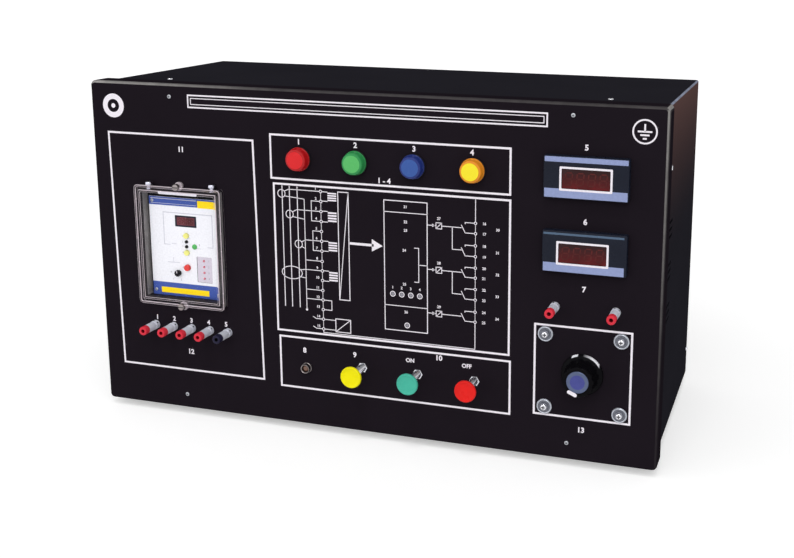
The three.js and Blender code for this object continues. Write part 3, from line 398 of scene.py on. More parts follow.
@dataclass(frozen=True)
class KnobPlastic(Moulded):
    """Polished black plastic of a knob, with painted glints: bright lines along the skirt's upper edge."""

    axis: Point = (0.0, 0.0)
    rim: float = 22.6 * MM

    def work(self, shader: Shader) -> None:
        """Adds two painted glints, bright lines on the upper side of the skirt's edge, to the moulded plastic.
        """
        super().work(shader)
        x, _, z = shader.parts(shader.place)
        middle, level = self.axis
        edge = shader.between(shader.radius_about(*self.axis), self.rim, self.rim + 0.5 * MM)
        left = shader.product(
            shader.between(x, middle - 12.5 * MM, middle - 11.5 * MM),
            shader.between(x, middle - 4.5 * MM, middle - 5.5 * MM),
        )
        right = shader.product(
            shader.between(x, middle + 1.0 * MM, middle + 12 * MM),
            shader.between(x, middle + 20.5 * MM, middle + 19.0 * MM),
        )
        both = shader.node("Math", {"operation": "MAXIMUM"}, {0: left, 1: right}).outputs[0]
        # Painted glints: the skirt's edge is mixed to near white in two patches on its upper side.
        share = shader.product(both, edge, shader.between(z, level + 8 * MM, level + 12 * MM))
        shader.link(shader.mixed(share, self.colour, (0.85, 0.85, 0.9)), "Base Color")


@dataclass(frozen=True)
class CasePlastic(Moulded):
    """Dark plastic of a deep case, whose left wall is paler because it faces the light."""

    wall: Colour = (0.0, 0.0, 0.0)

    def work(self, shader: Shader) -> None:
        """Adds the paler wall to the moulded plastic."""
        super().work(shader)
        nx, _, _ = shader.parts(shader.node("NewGeometry").outputs["Normal"])
        share = shader.product(shader.between(nx, 0.6, 0.9), shader.ranged(shader.noise(90, 4), 0.7, 1.1))
        shader.link(shader.mixed(share, self.varied(shader, 55, 0.07), self.wall), "Base Color")


@dataclass(frozen=True)
class LampLens(Finish):
    """Coloured lens plastic: rings turned into its back show through the smooth front."""

    axis: Point = (0.0, 0.0)
    glow: float = 0.12

    def work(self, shader: Shader) -> None:
        """Adds the rings, depth of colour and a little light from inside."""
        rings = shader.radius_about(*self.axis)
        wave = shader.node("Math", {"operation": "MULTIPLY"}, {0: rings, 1: 2 * math.pi / (1.5 * MM)})
        ripple = shader.node("Math", {"operation": "SINE"}, {0: wave.outputs[0]}).outputs[0]
        share = shader.node(
            "MapRange", inputs={"Value": ripple, "From Min": -1, "From Max": 1, "To Min": 0.3, "To Max": 0.6}
        ).outputs["Result"]
        deep = tuple(value * 0.75 for value in self.colour)
        pale = tuple(min(value * 1.1 + 0.01, 1) for value in self.colour)
        shader.link(shader.mixed(share, deep, pale), "Base Color")
        shader.set(
            Emission_Color=(*self.colour, 1),
            Emission_Strength=self.glow,
            Specular_IOR_Level=0.15,
            Coat_Weight=0.2,
            Coat_Roughness=0.06,
        )
        shader.link(shader.ranged(shader.noise(160, 4), 0.18, 0.3), "Roughness")
        shader.bump(ripple, 0.05, 0.05 * MM)


@dataclass(frozen=True)
class ClearPlastic(Finish):
    """Clear moulded cover: polished, with wiping marks and a faint haze."""

    haze: float = 0.05

    def work(self, shader: Shader) -> None:
        """Adds transmission and wiping marks."""
        shader.set(Transmission_Weight=1.0, IOR=1.05, Specular_IOR_Level=0.5)
        marks = shader.noise(1, 5, shader.stretched((26, 26, 80)))
        shader.link(shader.ranged(marks, self.haze * 0.4, self.haze * 1.6), "Roughness")
        shader.bump(shader.noise(60, 2), 0.04, 0.2 * MM)


@dataclass(frozen=True)
class Window(Finish):
    """Dark tinted window of a display: deep colour under a hard gloss, darker towards its top."""

    shade: Colour = (0.0, 0.0, 0.0)
    low: float = 0.0
    high: float = 0.0

    def work(self, shader: Shader) -> None:
        """Adds depth of colour, the darker top, dust specks and gloss."""
        tint = self.varied(shader, 70, 0.3)
        if self.high > self.low:
            share = shader.between(shader.parts(shader.place)[2], self.low, self.high)
            tint = shader.mixed(share, tint, self.shade)
        shader.link(tint, "Base Color")
        shader.set(Coat_Weight=0.12, Coat_Roughness=0.05, Specular_IOR_Level=0.1)
        shader.link(shader.ranged(shader.noise(500, 5), 0.12, 0.24), "Roughness")
        shader.bump(shader.noise(900, 2), 0.1, 0.02 * MM)


@dataclass(frozen=True)
class Layered(Finish):
    """Stacked or wound metal: thin lines along one axis."""

    step: float = 1.0 * MM
    axis: tuple[float, float, float] = (0.0, 1.0, 0.0)
    metallic: float = 0.7

    def work(self, shader: Shader) -> None:
        """Adds the lines between the layers and stains across them."""
        along = shader.node("VectorMath", {"operation": "DOT_PRODUCT"}, {0: shader.place, 1: self.axis})
        phase = shader.node(
            "Math", {"operation": "MULTIPLY"}, {0: along.outputs["Value"], 1: 2 * math.pi / self.step}
        )
        wave = shader.node("Math", {"operation": "SINE"}, {0: phase.outputs[0]}).outputs[0]
        share = shader.node(
            "MapRange", inputs={"Value": wave, "From Min": -1, "From Max": 1, "To Min": 0.15, "To Max": 1}
        ).outputs["Result"]
        dark = tuple(value * 0.35 for value in self.colour)
        shader.link(shader.mixed(share, dark, self.colour), "Base Color")
        shader.set(Metallic=self.metallic)
        shader.link(shader.ranged(shader.noise(200, 4), 0.35, 0.55), "Roughness")
        shader.bump(wave, 0.5, 0.2 * MM)


@dataclass(frozen=True)
class FloorPaint(Finish):
    lift: float = 0.0

    def work(self, shader: Shader) -> None:
        """Adds a barely visible unevenness."""
        shader.link(self.varied(shader, 2, 0.004), "Base Color")
        shader.set(Roughness=0.9, Specular_IOR_Level=0.1)
        if self.lift:
            shader.set(Emission_Color=(1, 1, 1, 1), Emission_Strength=self.lift)


# The pale fold colour of the black coat is a painted highlight.
BLACK_COAT = PowderCoat("black_powder_coat", linear(31, 26, 32), sheen=0.0, painted_fold_highlight=linear(158, 155, 153))
SIDE_COAT = PowderCoat(
    "black_powder_coat_of_cover",
    linear(38, 37, 43),
    sheen=0.0,
    # painted reflection: the warm tone high on the sides
    painted_warm_reflection=linear(105, 79, 75),
    warm_reflection_low=0.24,
    warm_reflection_high=0.45,
    # painted highlight along the cover's bends
    painted_bend_highlight=linear(150, 156, 176),
)
WHITE_INK = Ink("white_ink", linear(246, 240, 248))
GREY_INK = Ink("grey_ink", linear(150, 148, 158))
CHROME = Metal("chrome_plate", linear(226, 226, 232), roughness=0.1)
NICKEL = Metal("nickel_plate", linear(206, 206, 220), roughness=0.24)
STEEL = Metal("zinc_plated_steel", linear(176, 178, 184), roughness=0.32)
BRASS = Metal("brass", linear(196, 160, 86), roughness=0.3)
COPPER_WIRE = Layered("enamelled_winding", linear(150, 74, 30), step=1.3 * MM)
LAMINATION = Layered("laminated_core", linear(120, 122, 128), step=1.0 * MM)
BLACK_PLASTIC = Moulded("black_plastic", linear(20, 20, 23), roughness=0.4)
GLOSS_BLACK = Moulded("gloss_black_plastic", linear(20, 18, 23), roughness=0.16, texture=300)
CASE_GREY = CasePlastic("relay_case_plastic", linear(44, 40, 43), roughness=0.4, wall=linear(142, 138, 138))
METER_PLASTIC = Moulded("meter_case_plastic", linear(25, 29, 42), roughness=0.3)
STRIPE_INK = Ink("lavender_stripe", linear(148, 160, 202), roughness=0.4)
DIM_STRIPE_INK = Ink("dim_stripe", linear(84, 104, 128), roughness=0.4)
SEGMENT_RED = Window("unlit_segment", linear(84, 28, 27))
FOOT_PLASTIC = Moulded("foot_plastic", linear(232, 220, 220), roughness=0.45, texture=500)
CLEAR = ClearPlastic("clear_cover_plastic", (0.97, 0.97, 0.985))
RELAY_WHITE = Ink("relay_face_white", linear(230, 230, 235), roughness=0.45)
RELAY_BLUE = Ink("relay_face_blue", linear(62, 84, 158), roughness=0.45)
RELAY_YELLOW = Ink("relay_face_yellow", linear(250, 214, 20), roughness=0.45)
RELAY_GREY = Ink("relay_face_grey", linear(196, 196, 206), roughness=0.45)
LILAC = Ink("lamp_field_lilac", linear(203, 196, 208), roughness=0.45)
KEY_YELLOW = Moulded("key_yellow", linear(226, 222, 128), roughness=0.35)
RESET_RED = Moulded("reset_red", linear(208, 64, 60), roughness=0.3)
LED_GREEN = Moulded("small_lamp_green", linear(86, 176, 96), roughness=0.2)
LED_RED = Moulded("small_lamp_red", linear(206, 118, 130), roughness=0.25)
TIP_RED = Moulded("post_red", linear(224, 54, 70), roughness=0.28)
# Darker copy of the tip's red for the inside of its socket: painted shade.
SOCKET_RED = Moulded("post_socket_red", linear(150, 14, 32), roughness=0.35)
TIP_DARK = Moulded("post_dark", linear(36, 34, 58), roughness=0.28)
POST_METAL = Metal("post_metal", linear(234, 236, 252), roughness=0.36, metallic=0.12)
THUMB_METAL = Metal("thumbscrew_metal", linear(150, 142, 142), roughness=0.3)
WASHER_METAL = Metal("washer_metal", linear(196, 200, 210), roughness=0.34, metallic=0.5)
FRAME_METAL = Metal("transformer_frame", linear(112, 114, 124), roughness=0.34, metallic=0.5)
# Darker copy of the washer metal for the washer's dish: painted shade.
WASHER_SHADE = Metal("washer_dish", linear(78, 80, 90), roughness=0.4, metallic=0.5)
BOARD_GREEN = Moulded("board_green", linear(24, 92, 52), roughness=0.4)


# Outlines, in the two axes of a seat


def circle(radius: float, steps: int = 48) -> list[Point]:
    """Returns a circle about the origin."""
    turn = 2 * math.pi / steps
    return [(radius * math.cos(i * turn), radius * math.sin(i * turn)) for i in range(steps)]


def rounded(width: float, height: float, radius: float, steps: int = 6) -> list[Point]:
    """Returns a rectangle about the origin with round corners."""
    radius = max(min(radius, width / 2, height / 2), 1e-6)
    corners = ((1, 1, 0), (-1, 1, 1), (-1, -1, 2), (1, -1, 3))
    points = []
    for x_sign, y_sign, quarter in corners:
        centre = (x_sign * (width / 2 - radius), y_sign * (height / 2 - radius))
        for i in range(steps + 1):
            angle = (quarter + i / steps) * math.pi / 2
            points.append((centre[0] + radius * math.cos(angle), centre[1] + radius * math.sin(angle)))
    return points


def toothed(radius: float, teeth: int, depth: float, shape: Sequence[float] = (0, 1)) -> list[Point]:
    """Returns a round outline with hollows.

    Args:
        radius: largest radius.
        teeth: number of hollows.
        depth: depth of a hollow.
        shape: share of the depth at even steps across one hollow.

    Returns:
        The outline's points.
    """
    points = []
    count = teeth * len(shape)
    for i in range(count):
        r = radius - depth * shape[i % len(shape)]
        angle = 2 * math.pi * i / count
        points.append((r * math.cos(angle), r * math.sin(angle)))
    return points


def hexagon(across: float) -> list[Point]:
    """Returns a hexagon of a given size across its flats."""
    return circle(across / math.sqrt(3), 6)


def shifted(points: Iterable[Point], x: float, y: float) -> list[Point]:
    """Returns the points moved by x and y."""
    return [(px + x, py + y) for px, py in points]


# Seats: where a piece's own axes lie in the frame


def seat_on_panel(x: float, z: float) -> Matrix:
    """Returns the seat of a piece on the front panel, with its third axis towards the viewer."""
    return Matrix.Translation((x, PANEL_FACE, z)) @ Matrix.Rotation(math.pi / 2, 4, "X")


def seat_facing(place: Sequence[float], way: str) -> Matrix:
    """Returns a seat at a point with its third axis along one of +X, -X, +Y, -Y, +Z and -Z."""
    turns = {
        "+X": Matrix.Rotation(math.pi / 2, 4, "Y"),
        "-X": Matrix.Rotation(-math.pi / 2, 4, "Y"),
        "+Y": Matrix.Rotation(-math.pi / 2, 4, "X"),
        "-Y": Matrix.Rotation(math.pi / 2, 4, "X"),
        "+Z": Matrix.Identity(4),
        "-Z": Matrix.Rotation(math.pi, 4, "X"),
    }
    return Matrix.Translation(place) @ turns[way]


def centre_of(node: str) -> tuple[float, float]:
    """Returns the middle of a CAD node across the panel and in height."""
    low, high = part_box(node)
    return (low.x + high.x) / 2, (low.z + high.z) / 2


PANEL_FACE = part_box("front_panel")[0].y
PANEL_MIDDLE = centre_of("front_panel")[1]
PRINT_LIFT = 0.06 * MM


def art(u: float, v: float) -> Point:
    """Returns a point of the panel's artwork, which is measured in units from the panel's middle."""
    return u * UNIT, PANEL_MIDDLE + v * UNIT


# Mesh work


class Piece:
    """Gathers the faces of one piece, each with the finish that it wears, and makes its object."""

    def __init__(self, name: str, *finishes: Finish) -> None:
        """Starts an empty piece.

        Args:
            name: name of the object.
            finishes: the finishes that its faces refer to by number.
        """
        self.name = name
        self.finishes = finishes
        self.mesh = bmesh.new()
        self.seat = Matrix.Identity(4)

    def at(self, seat: Matrix) -> "Piece":
        """Sets the seat that the next shapes are drawn in."""
        self.seat = seat
        return self

    def _add(self, points: Iterable[Sequence[float]]) -> list[bmesh.types.BMVert]:
        """Adds points of the current seat as vertices."""
        return [self.mesh.verts.new(self.seat @ Vector(p)) for p in points]

    def _face(self, verts: Sequence[bmesh.types.BMVert], finish: int) -> None:
        """Adds a face unless its corners fall together."""
        if len(set(verts)) > 2:
            made = self.mesh.faces.new(verts)
            made.material_index = finish
            made.smooth = True

    def loft(
        self,
        sections: Sequence[Section],
        finish: int | Sequence[int] = 0,
        caps: tuple[bool, bool] = (True, True),
        closed: bool = False,
    ) -> "Piece":
        """Joins outlines of equal length into a skin.

        Args:
            sections: each outline with its height along the seat's third axis.
            finish: one finish, or one for each strip between two outlines.
            caps: whether the first and the last outline are closed with a face.
            closed: whether the last outline joins the first again.

        Returns:
            The piece.
        """
        rings = [self._add((x, y, height) for x, y in outline) for outline, height in sections]
        count = len(rings) - (0 if closed else 1)
        for k in range(count):
            near, far = rings[k], rings[(k + 1) % len(rings)]
            wear = finish if isinstance(finish, int) else finish[k]
            for i in range(len(near)):
                j = (i + 1) % len(near)
                self._face((near[i], near[j], far[j], far[i]), wear)
        for cap, ring, index in ((caps[0], rings[0], 0), (caps[1], rings[-1], -1)):
            if cap and not closed:
                self._face(ring, finish if isinstance(finish, int) else finish[index])
        return self

    def turn(
        self,
        profile: Sequence[Point],
        finish: int | Sequence[int] = 0,
        steps: int = 56,
        closed: bool = False,
    ) -> "Piece":
        """Turns a profile of radius and height about the seat's third axis.

        Args:
            profile: points from one end of the axis to the other.
            finish: one finish, or one for each stretch of the profile.
            steps: facets round the full turn.
            closed: whether the profile closes on itself, as on a ring.

        Returns:
            The piece.
        """
        rings = []
        for radius, height in profile:
            outline = [(0.0, 0.0)] if radius < 1e-9 else circle(radius, steps)
            rings.append(self._add((x, y, height) for x, y in outline))
        for k in range(len(rings) - (0 if closed else 1)):
            near, far = rings[k], rings[(k + 1) % len(rings)]
            wear = finish if isinstance(finish, int) else finish[k]
            for i in range(steps):
                j = (i + 1) % steps
                if len(near) == 1 and len(far) == 1:
                    break
                if len(near) == 1:
                    self._face((near[0], far[j], far[i]), wear)
                elif len(far) == 1:
                    self._face((near[i], near[j], far[0]), wear)
                else:
                    self._face((near[i], near[j], far[j], far[i]), wear)
        return self

    def flat(self, outline: Sequence[Point], height: float, finish: int = 0) -> "Piece":
        """Adds one flat face."""
        self._face(self._add((x, y, height) for x, y in outline), finish)
        return self

    def sheet(
        self, outline: Sequence[Point], holes: Sequence[Sequence[Point]], height: float, finish: int = 0
    ) -> "Piece":
        """Adds a flat face with holes in it."""
        loops = [[Vector((x, y, height)) for x, y in loop] for loop in (outline, *holes)]
        verts = self._add([p for loop in loops for p in loop])
        for corners in tessellate_polygon(loops):
            a, b, c = (verts[i] for i in corners)
            near = [loops_point for loop in loops for loops_point in loop]
            p, q, r = (near[i] for i in corners)
            upward = (q - p).cross(r - p).z > 0
            self._face((a, b, c) if upward else (a, c, b), finish)
        return self

    def flat_ring(
        self, outer: Sequence[Point], inner: Sequence[Point], height: float, finish: int = 0
    ) -> "Piece":
        """Adds a flat band between two outlines of equal length."""
        return self.loft([(list(outer), height), (list(inner), height)], finish, (False, False))

    def line(self, points: Sequence[Point], width: float, height: float, finish: int = 0) -> "Piece":
        """Adds a flat printed line along some points, mitred at its bends."""
        sides: list[tuple[Vector, Vector]] = []
        path = [Vector(p) for p in points]
        for i, here in enumerate(path):
            before = (here - path[i - 1]).normalized() if i else None
            after = (path[i + 1] - here).normalized() if i + 1 < len(path) else None
            run = ((before or after) + (after or before)).normalized()
            normal = Vector((-run.y, run.x))
            across = Vector((-(after or before).y, (after or before).x))
            reach = width / 2 / max(normal.dot(across), 0.4)
            sides.append((here + normal * reach, here - normal * reach))
        rails = [
            self._add([(left.x, left.y, height), (right.x, right.y, height)]) for left, right in sides
        ]
        for near, far in zip(rails, rails[1:]):
            self._face((near[0], near[1], far[1], far[0]), finish)
        return self

    def frame_line(
        self, low: Point, high: Point, width: float, height: float, finish: int = 0
    ) -> "Piece":
        """Adds a rectangle of printed line whose outer corners are low and high."""
        x, y = (low[0] + high[0]) / 2, (low[1] + high[1]) / 2
        w, h = high[0] - low[0], high[1] - low[1]
        outer = shifted(rounded(w, h, 0.3 * MM, 2), x, y)
        inner = shifted(rounded(w - 2 * width, h - 2 * width, 0.1 * MM, 2), x, y)
        return self.flat_ring(outer, inner, height, finish)

    def ring_line(
        self, centre: Point, radius: float, width: float, height: float, finish: int = 0
    ) -> "Piece":
        """Adds a printed ring."""
        outer = shifted(circle(radius, 32), *centre)
        inner = shifted(circle(radius - width, 32), *centre)
        return self.flat_ring(outer, inner, height, finish)

    def lettering(
        self, words: str, centre: Point, size: float, height: float, finish: int = 0, weight: float = 0.02
    ) -> "Piece":
        """Adds printed numbers or a switch's ON and OFF.

        Args:
            words: what is printed.
            centre: middle of the print.
            size: height of a capital.
            height: height along the seat's third axis.
            finish: the ink.
            weight: how far the strokes are thickened, as a share of the size.

        Returns:
            The piece.
        """
        curve = bpy.data.curves.new("lettering", "FONT")
        curve.body = words
        curve.size = size / 0.73
        curve.offset = weight * size
        curve.resolution_u = 3
        curve.align_x = "CENTER"
        curve.align_y = "CENTER"
        holder = bpy.data.objects.new("lettering", curve)
        bpy.context.scene.collection.objects.link(holder)
        ready = holder.evaluated_get(bpy.context.evaluated_depsgraph_get())
        printed = bpy.data.meshes.new_from_object(ready)
        printed.transform(self.seat @ Matrix.Translation((centre[0], centre[1], height)))
        before = len(self.mesh.faces)
        self.mesh.from_mesh(printed)
        self.mesh.faces.ensure_lookup_table()
        for face in self.mesh.faces[before:]:
            face.material_index = finish
        bpy.data.objects.remove(holder)
        bpy.data.curves.remove(curve)
        bpy.data.meshes.remove(printed)
        return self

    def slab(
        self,
        width: float,
        depth: float,
        low: float,
        high: float,
        radius: float = 0.0005,
        finish: int = 0,
        centre: Point = (0.0, 0.0),
        ease: float = 0.3 * MM,
    ) -> "Piece":
        """Adds a block with round corners and eased edges at both ends.

        Args:
            width: size along the seat's first axis.
            depth: size along its second axis.
            low: lower end along its third axis.
            high: upper end along its third axis.
            radius: corner radius.
            finish: the finish.
            centre: middle of the block.
            ease: size of the eased edges.

        Returns:
            The piece.
        """
        ease = min(ease, (high - low) / 3, width / 3, depth / 3)
        full = shifted(rounded(width, depth, radius), *centre)
        small = shifted(rounded(width - 2 * ease, depth - 2 * ease, radius), *centre)
        half = shifted(rounded(width - 0.6 * ease, depth - 0.6 * ease, radius), *centre)
        return self.loft(
            [
                (small, low),
                (half, low + 0.3 * ease),
                (full, low + ease),
                (full, high - ease),
                (half, high - 0.3 * ease),
                (small, high),
            ],
            finish,
        )

    def make(
        self,
        body: str,
        replaces: Sequence[str] = (),
        slot: str = "",
        crease: float = 35.0,
        printed: bool = False,
    ) -> bpy.types.Object:
        """Makes the object, lets it ride on its body and reports it.

        Args:
            body: the CAD body it moves with.
            replaces: the CAD nodes it stands for.
            slot: the record's material slot of its main finish; not used.
            crease: edges sharper than this many degrees stay sharp.
            printed: whether it is flat print, whose faces keep the way they were drawn.

        Returns:
            The object.
        """
        if not printed:
            bmesh.ops.recalc_face_normals(self.mesh, faces=self.mesh.faces)
        mesh = bpy.data.meshes.new(self.name)
        self.mesh.to_mesh(mesh)
        self.mesh.free()
        mesh.set_sharp_from_angle(angle=math.radians(crease))
        for finish in self.finishes:
            mesh.materials.append(finish.material())
        made = bpy.data.objects.new(self.name, mesh)
        bpy.context.scene.collection.objects.link(made)
        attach(made, body)
        if replaces:
            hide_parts(*replaces)
        log.info("%s: %d faces on %s", self.name, len(mesh.polygons), body)
        return made


def dress(node: str, finish: Finish, bevel: float = 0.0) -> None:
    """Gives a CAD node that stays in view its finish.

    Args:
        node: the CAD node.
        finish: the finish it wears.
        bevel: width of the rounding on its edges, in metres.
    """
    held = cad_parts[node]
    held.data.materials.clear()
    held.data.materials.append(finish.material())
    if bevel:
        rounding = held.modifiers.new("rounded_edges", "BEVEL")
        rounding.width = bevel
        rounding.segments = 2
        rounding.limit_method = "ANGLE"
        rounding.angle_limit = math.radians(40)
        rounding.harden_normals = False
    log.info("%s: dressed in %s", node, finish.name)


# Screws


class Drive(Enum):
    """The recess of a screw's head."""

    CROSS = "cross"
    SLOT = "slot"


@dataclass(frozen=True)
class PanHead:
    """Head of a screw, with a dished washer if it has one."""

    radius: float = 3.2 * MM
    height: float = 2.2 * MM
    washer_radius: float = 0.0
    washer_height: float = 1.0 * MM
    drive: Drive = Drive.CROSS

    def add(self, piece: Piece, seat: Matrix, finish: int = 0, dark: int = 1, washer: int = 2) -> None:
        """Draws the screw's head on a seat.

        Args:
            piece: the piece that takes it.
            seat: where it sits.
            finish: finish of the metal.
            dark: finish of the recess, which is painted shade: flat dark bars on the head.
            washer: finish of the washer's rim, with that of its dish next to it; the dish's darker finish is
                painted shade.
        """
        piece.at(seat)
        base = 0.0
        if self.washer_radius:
            base, w = 0.35 * self.washer_height, self.washer_radius
            profile = [
                (0, 0),
                (w - 0.3 * MM, 0),
                (w, 0.4 * self.washer_height),
                (w - 0.5 * MM, 0.85 * self.washer_height),
                (w - 1.1 * MM, self.washer_height),
                (w - 1.8 * MM, 0.85 * self.washer_height),
                (self.radius + 0.5 * MM, base),
                (0, base),
            ]
            # The dish wears the next finish, a darker copy of the washer's: painted shade.
            piece.turn(profile, [washer] * 5 + [washer + 1] * 2, 48)
        r, h = self.radius, self.height
        profile = [(0, base), (r, base), (r, base + 0.35 * h)]
        for k in range(1, 5):
            angle = k / 5 * math.pi / 2
            profile.append((r * (1 - 0.45 * (1 - math.cos(angle))), base + h * (0.35 + 0.6 * math.sin(angle))))
        profile.append((0, base + h))
        piece.turn(profile, finish, 36)
        # The drive's recess is not cut: flat dark bars on the head stand for it, as painted shade.
        top = base + h + 0.02 * MM
        length, width = 1.1 * r, 0.26 * r
        bars = [(length, width)] + ([(width, length)] if self.drive is Drive.CROSS else [])
        for k, (x, y) in enumerate(bars):
            piece.flat(rounded(x, y, 0.1 * MM, 2), top + k * 0.01 * MM, dark)


# Cabinet and its print


@dataclass(frozen=True)
class Screws:
    """A group of equal screws on one face of the cabinet."""

    name: str
    places: tuple[tuple[float, float, float], ...]
    way: str = "-Y"
    head: PanHead = PanHead()
    body: str = CABINET
    finish: Finish = CHROME

    def build(self) -> None:
        """Builds the group."""
        washer = (WASHER_METAL, WASHER_SHADE) if self.head.washer_radius else ()
        piece = Piece(self.name, self.finish, BLACK_PLASTIC, *washer)
        for place in self.places:
            self.head.add(piece, seat_facing(place, self.way))
        piece.make(self.body)


@dataclass(frozen=True)
class Foot:
    """Round plastic foot with a rounded end and a screw sunk in its sole."""

    node: str
    sole: float = 8.4 * MM
    end: float = 9.0 * MM
    hole: float = 4.4 * MM

    def build(self) -> None:
        """Builds the foot over its CAD node."""
        low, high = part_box(self.node)
        height, r = high.z - low.z, (high.x - low.x) / 2
        x, y = (low.x + high.x) / 2, (low.y + high.y) / 2
        piece = Piece(self.node + "_moulding", FOOT_PLASTIC, BLACK_PLASTIC)
        piece.at(seat_facing((x, y, low.z), "+Z"))
        profile = [
            (0, self.end),
            (self.hole, self.end),
            (self.hole, 0.3 * MM),
            (self.hole + 0.3 * MM, 0.0),
            (self.sole, 0.0),
        ]
        for k in range(1, 9):
            angle = k / 8 * math.pi / 2
            profile.append(
                (self.sole + (r - self.sole) * math.sin(angle), self.end * (1 - math.cos(angle)))
            )
        profile += [
            (r, height - 2.4 * MM),
            (r - 0.5 * MM, height - 2.0 * MM),
            (r - 0.5 * MM, height - 1.6 * MM),
            (r, height - 1.2 * MM),
            (r, height - 0.1 * MM),
            (0, height - 0.1 * MM),
        ]
        piece.turn(profile, [1] + [0] * (len(profile) - 2), 48)
        piece.make(CABINET, [self.node], "foot_plastic")


@dataclass
class Cabinet:
    """Sheet-metal cabinet: folded front panel, wrapped cover, base tray, back panel, feet and screws."""

    panel_screws: tuple[Point, ...] = ((-207.2, 161), (211.7, 162.7), (212.1, -156.6), (-203, -158.4))
    cover_screws_x: float = 284 * MM
    cover_screws_back: float = 58 * MM
    side_screws: tuple[Point, ...] = ((55 * MM, 133 * MM), (35 * MM, -131 * MM), (290 * MM, -163 * MM))
    back_screws_inset: float = 14 * MM
    edge: float = 0.5 * MM

    def build(self) -> None:
        """Dresses the sheets and adds screws and feet."""
        dress("front_panel", BLACK_COAT)
        dress("wrap_cover", SIDE_COAT)
        dress("base_tray", SIDE_COAT)
        dress("back_panel", SIDE_COAT)
        for side in ("front_left", "front_right", "rear_left", "rear_right"):
            Foot("foot_" + side).build()
        self._fix_panel()
        self._fix_cover()
        self._fix_back()

    def _fix_panel(self) -> None:
        """Adds the screws on the front panel."""
        places = [(x, PANEL_FACE, z) for x, z in (art(u, v) for u, v in self.panel_screws)]
        head = PanHead(radius=2.6 * MM, height=1.5 * MM)
        Screws("panel_screws", tuple(places), "-Y", head, CABINET, STEEL).build()

    def _fix_cover(self) -> None:
        """Adds the screws on the cover's top and sides."""
        low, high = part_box("wrap_cover")
        y = PANEL_FACE + self.cover_screws_back
        head = PanHead(radius=3.0 * MM, height=1.6 * MM)
        top = tuple((side * self.cover_screws_x, y, high.z) for side in (-1, 1))
        Screws("top_screws", top, "+Z", head).build()
        for name, x, way in (("left_side_screws", low.x, "-X"), ("right_side_screws", high.x, "+X")):
            places = tuple((x, PANEL_FACE + back, PANEL_MIDDLE + up) for back, up in self.side_screws)
            Screws(name, places, way, PanHead(radius=2.8 * MM, height=2.6 * MM)).build()

    def _fix_back(self) -> None:
        """Adds the screws that hold the back panel."""
        low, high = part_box("back_panel")
        xs = (low.x + self.back_screws_inset, 0.0, high.x - self.back_screws_inset)
        zs = (low.z + self.back_screws_inset, high.z - self.back_screws_inset)
        places = tuple((x, high.y, z) for z in zs for x in xs)
        Screws("back_screws", places, "+Y", PanHead(radius=3.0 * MM, height=1.6 * MM)).build()


@dataclass
class FramePrint:
    """The printed frames that group the panel's controls, and the plain marks between them."""

    width: float = 2.0
    frames: tuple[tuple[float, float, float, float], ...] = (
        (-96.4, 83.5, 153.8, 129.5),
        (-94.0, -75.0, 154.0, 80.0),
        (-92.0, -135.5, 155.4, -79.5),
        (178.0, -131.0, 273.5, -38.5),
    )
    leaning: tuple[Point, ...] = ((-279.0, -131.4), (-110.1, -131.4), (-114.0, 122.0), (-282.3, 122.0))
    title: tuple[float, float, float, float] = (-187.0, 150.3, 188.0, 164.0)
    badge: tuple[float, float, float] = (-273.7, 148.8, 12.4)
    symbol: tuple[float, float, float] = (277.6, 151.0, 11.5)

    def build(self) -> None:
        """Prints the frames, the blank title strip, the badge's ring and the earth symbol."""
        piece = Piece("panel_frames", WHITE_INK).at(seat_on_panel(0, 0))
        for u0, v0, u1, v1 in self.frames:
            piece.frame_line(art(u0, v0), art(u1, v1), self.width * UNIT, PRINT_LIFT)
        self._print_leaning(piece)
        self._print_title(piece)
        self._print_badge(piece)
        self._print_symbol(piece)
        piece.make(CABINET, printed=True)

    def _print_leaning(self, piece: Piece) -> None:
        """Prints the relay's frame, whose sides lean a little."""
        inward = ((1, 1), (-1, 1), (-1, -1), (1, -1))
        outer = [art(u, v) for u, v in self.leaning]
        inner = [
            art(u + self.width * du, v + self.width * dv)
            for (u, v), (du, dv) in zip(self.leaning, inward)
        ]
        piece.flat_ring(outer, inner, PRINT_LIFT)

    def _print_title(self, piece: Piece) -> None:
        """Prints a blank strip where the panel's title would stand."""
        u0, v0, u1, v1 = self.title
        piece.frame_line(art(u0, v0), art(u1, v1), 1.5 * UNIT, PRINT_LIFT)
        inset = 3.4
        piece.frame_line(
            art(u0 + inset, v0 + inset), art(u1 - inset, v1 - inset), 0.8 * UNIT, PRINT_LIFT
        )

    def _print_badge(self, piece: Piece) -> None:
        """Prints a plain ring with a dot where a badge would stand."""
        u, v, r = self.badge
        piece.ring_line(art(u, v), r * UNIT, 5.6 * UNIT, PRINT_LIFT)
        piece.flat(shifted(circle(2.4 * UNIT, 24), *art(u, v)), PRINT_LIFT)

    def _print_symbol(self, piece: Piece) -> None:
        """Prints the plain earth symbol in a ring."""
        u, v, r = self.symbol
        piece.ring_line(art(u, v), r * UNIT, 1.5 * UNIT, PRINT_LIFT)
        piece.line([art(u, v + 7), art(u, v)], 1.6 * UNIT, PRINT_LIFT)
        for k, half in enumerate((6.6, 4.2, 1.8)):
            level = v - 3.2 * k
            piece.line([art(u - half, level), art(u + half, level)], 1.6 * UNIT, PRINT_LIFT)


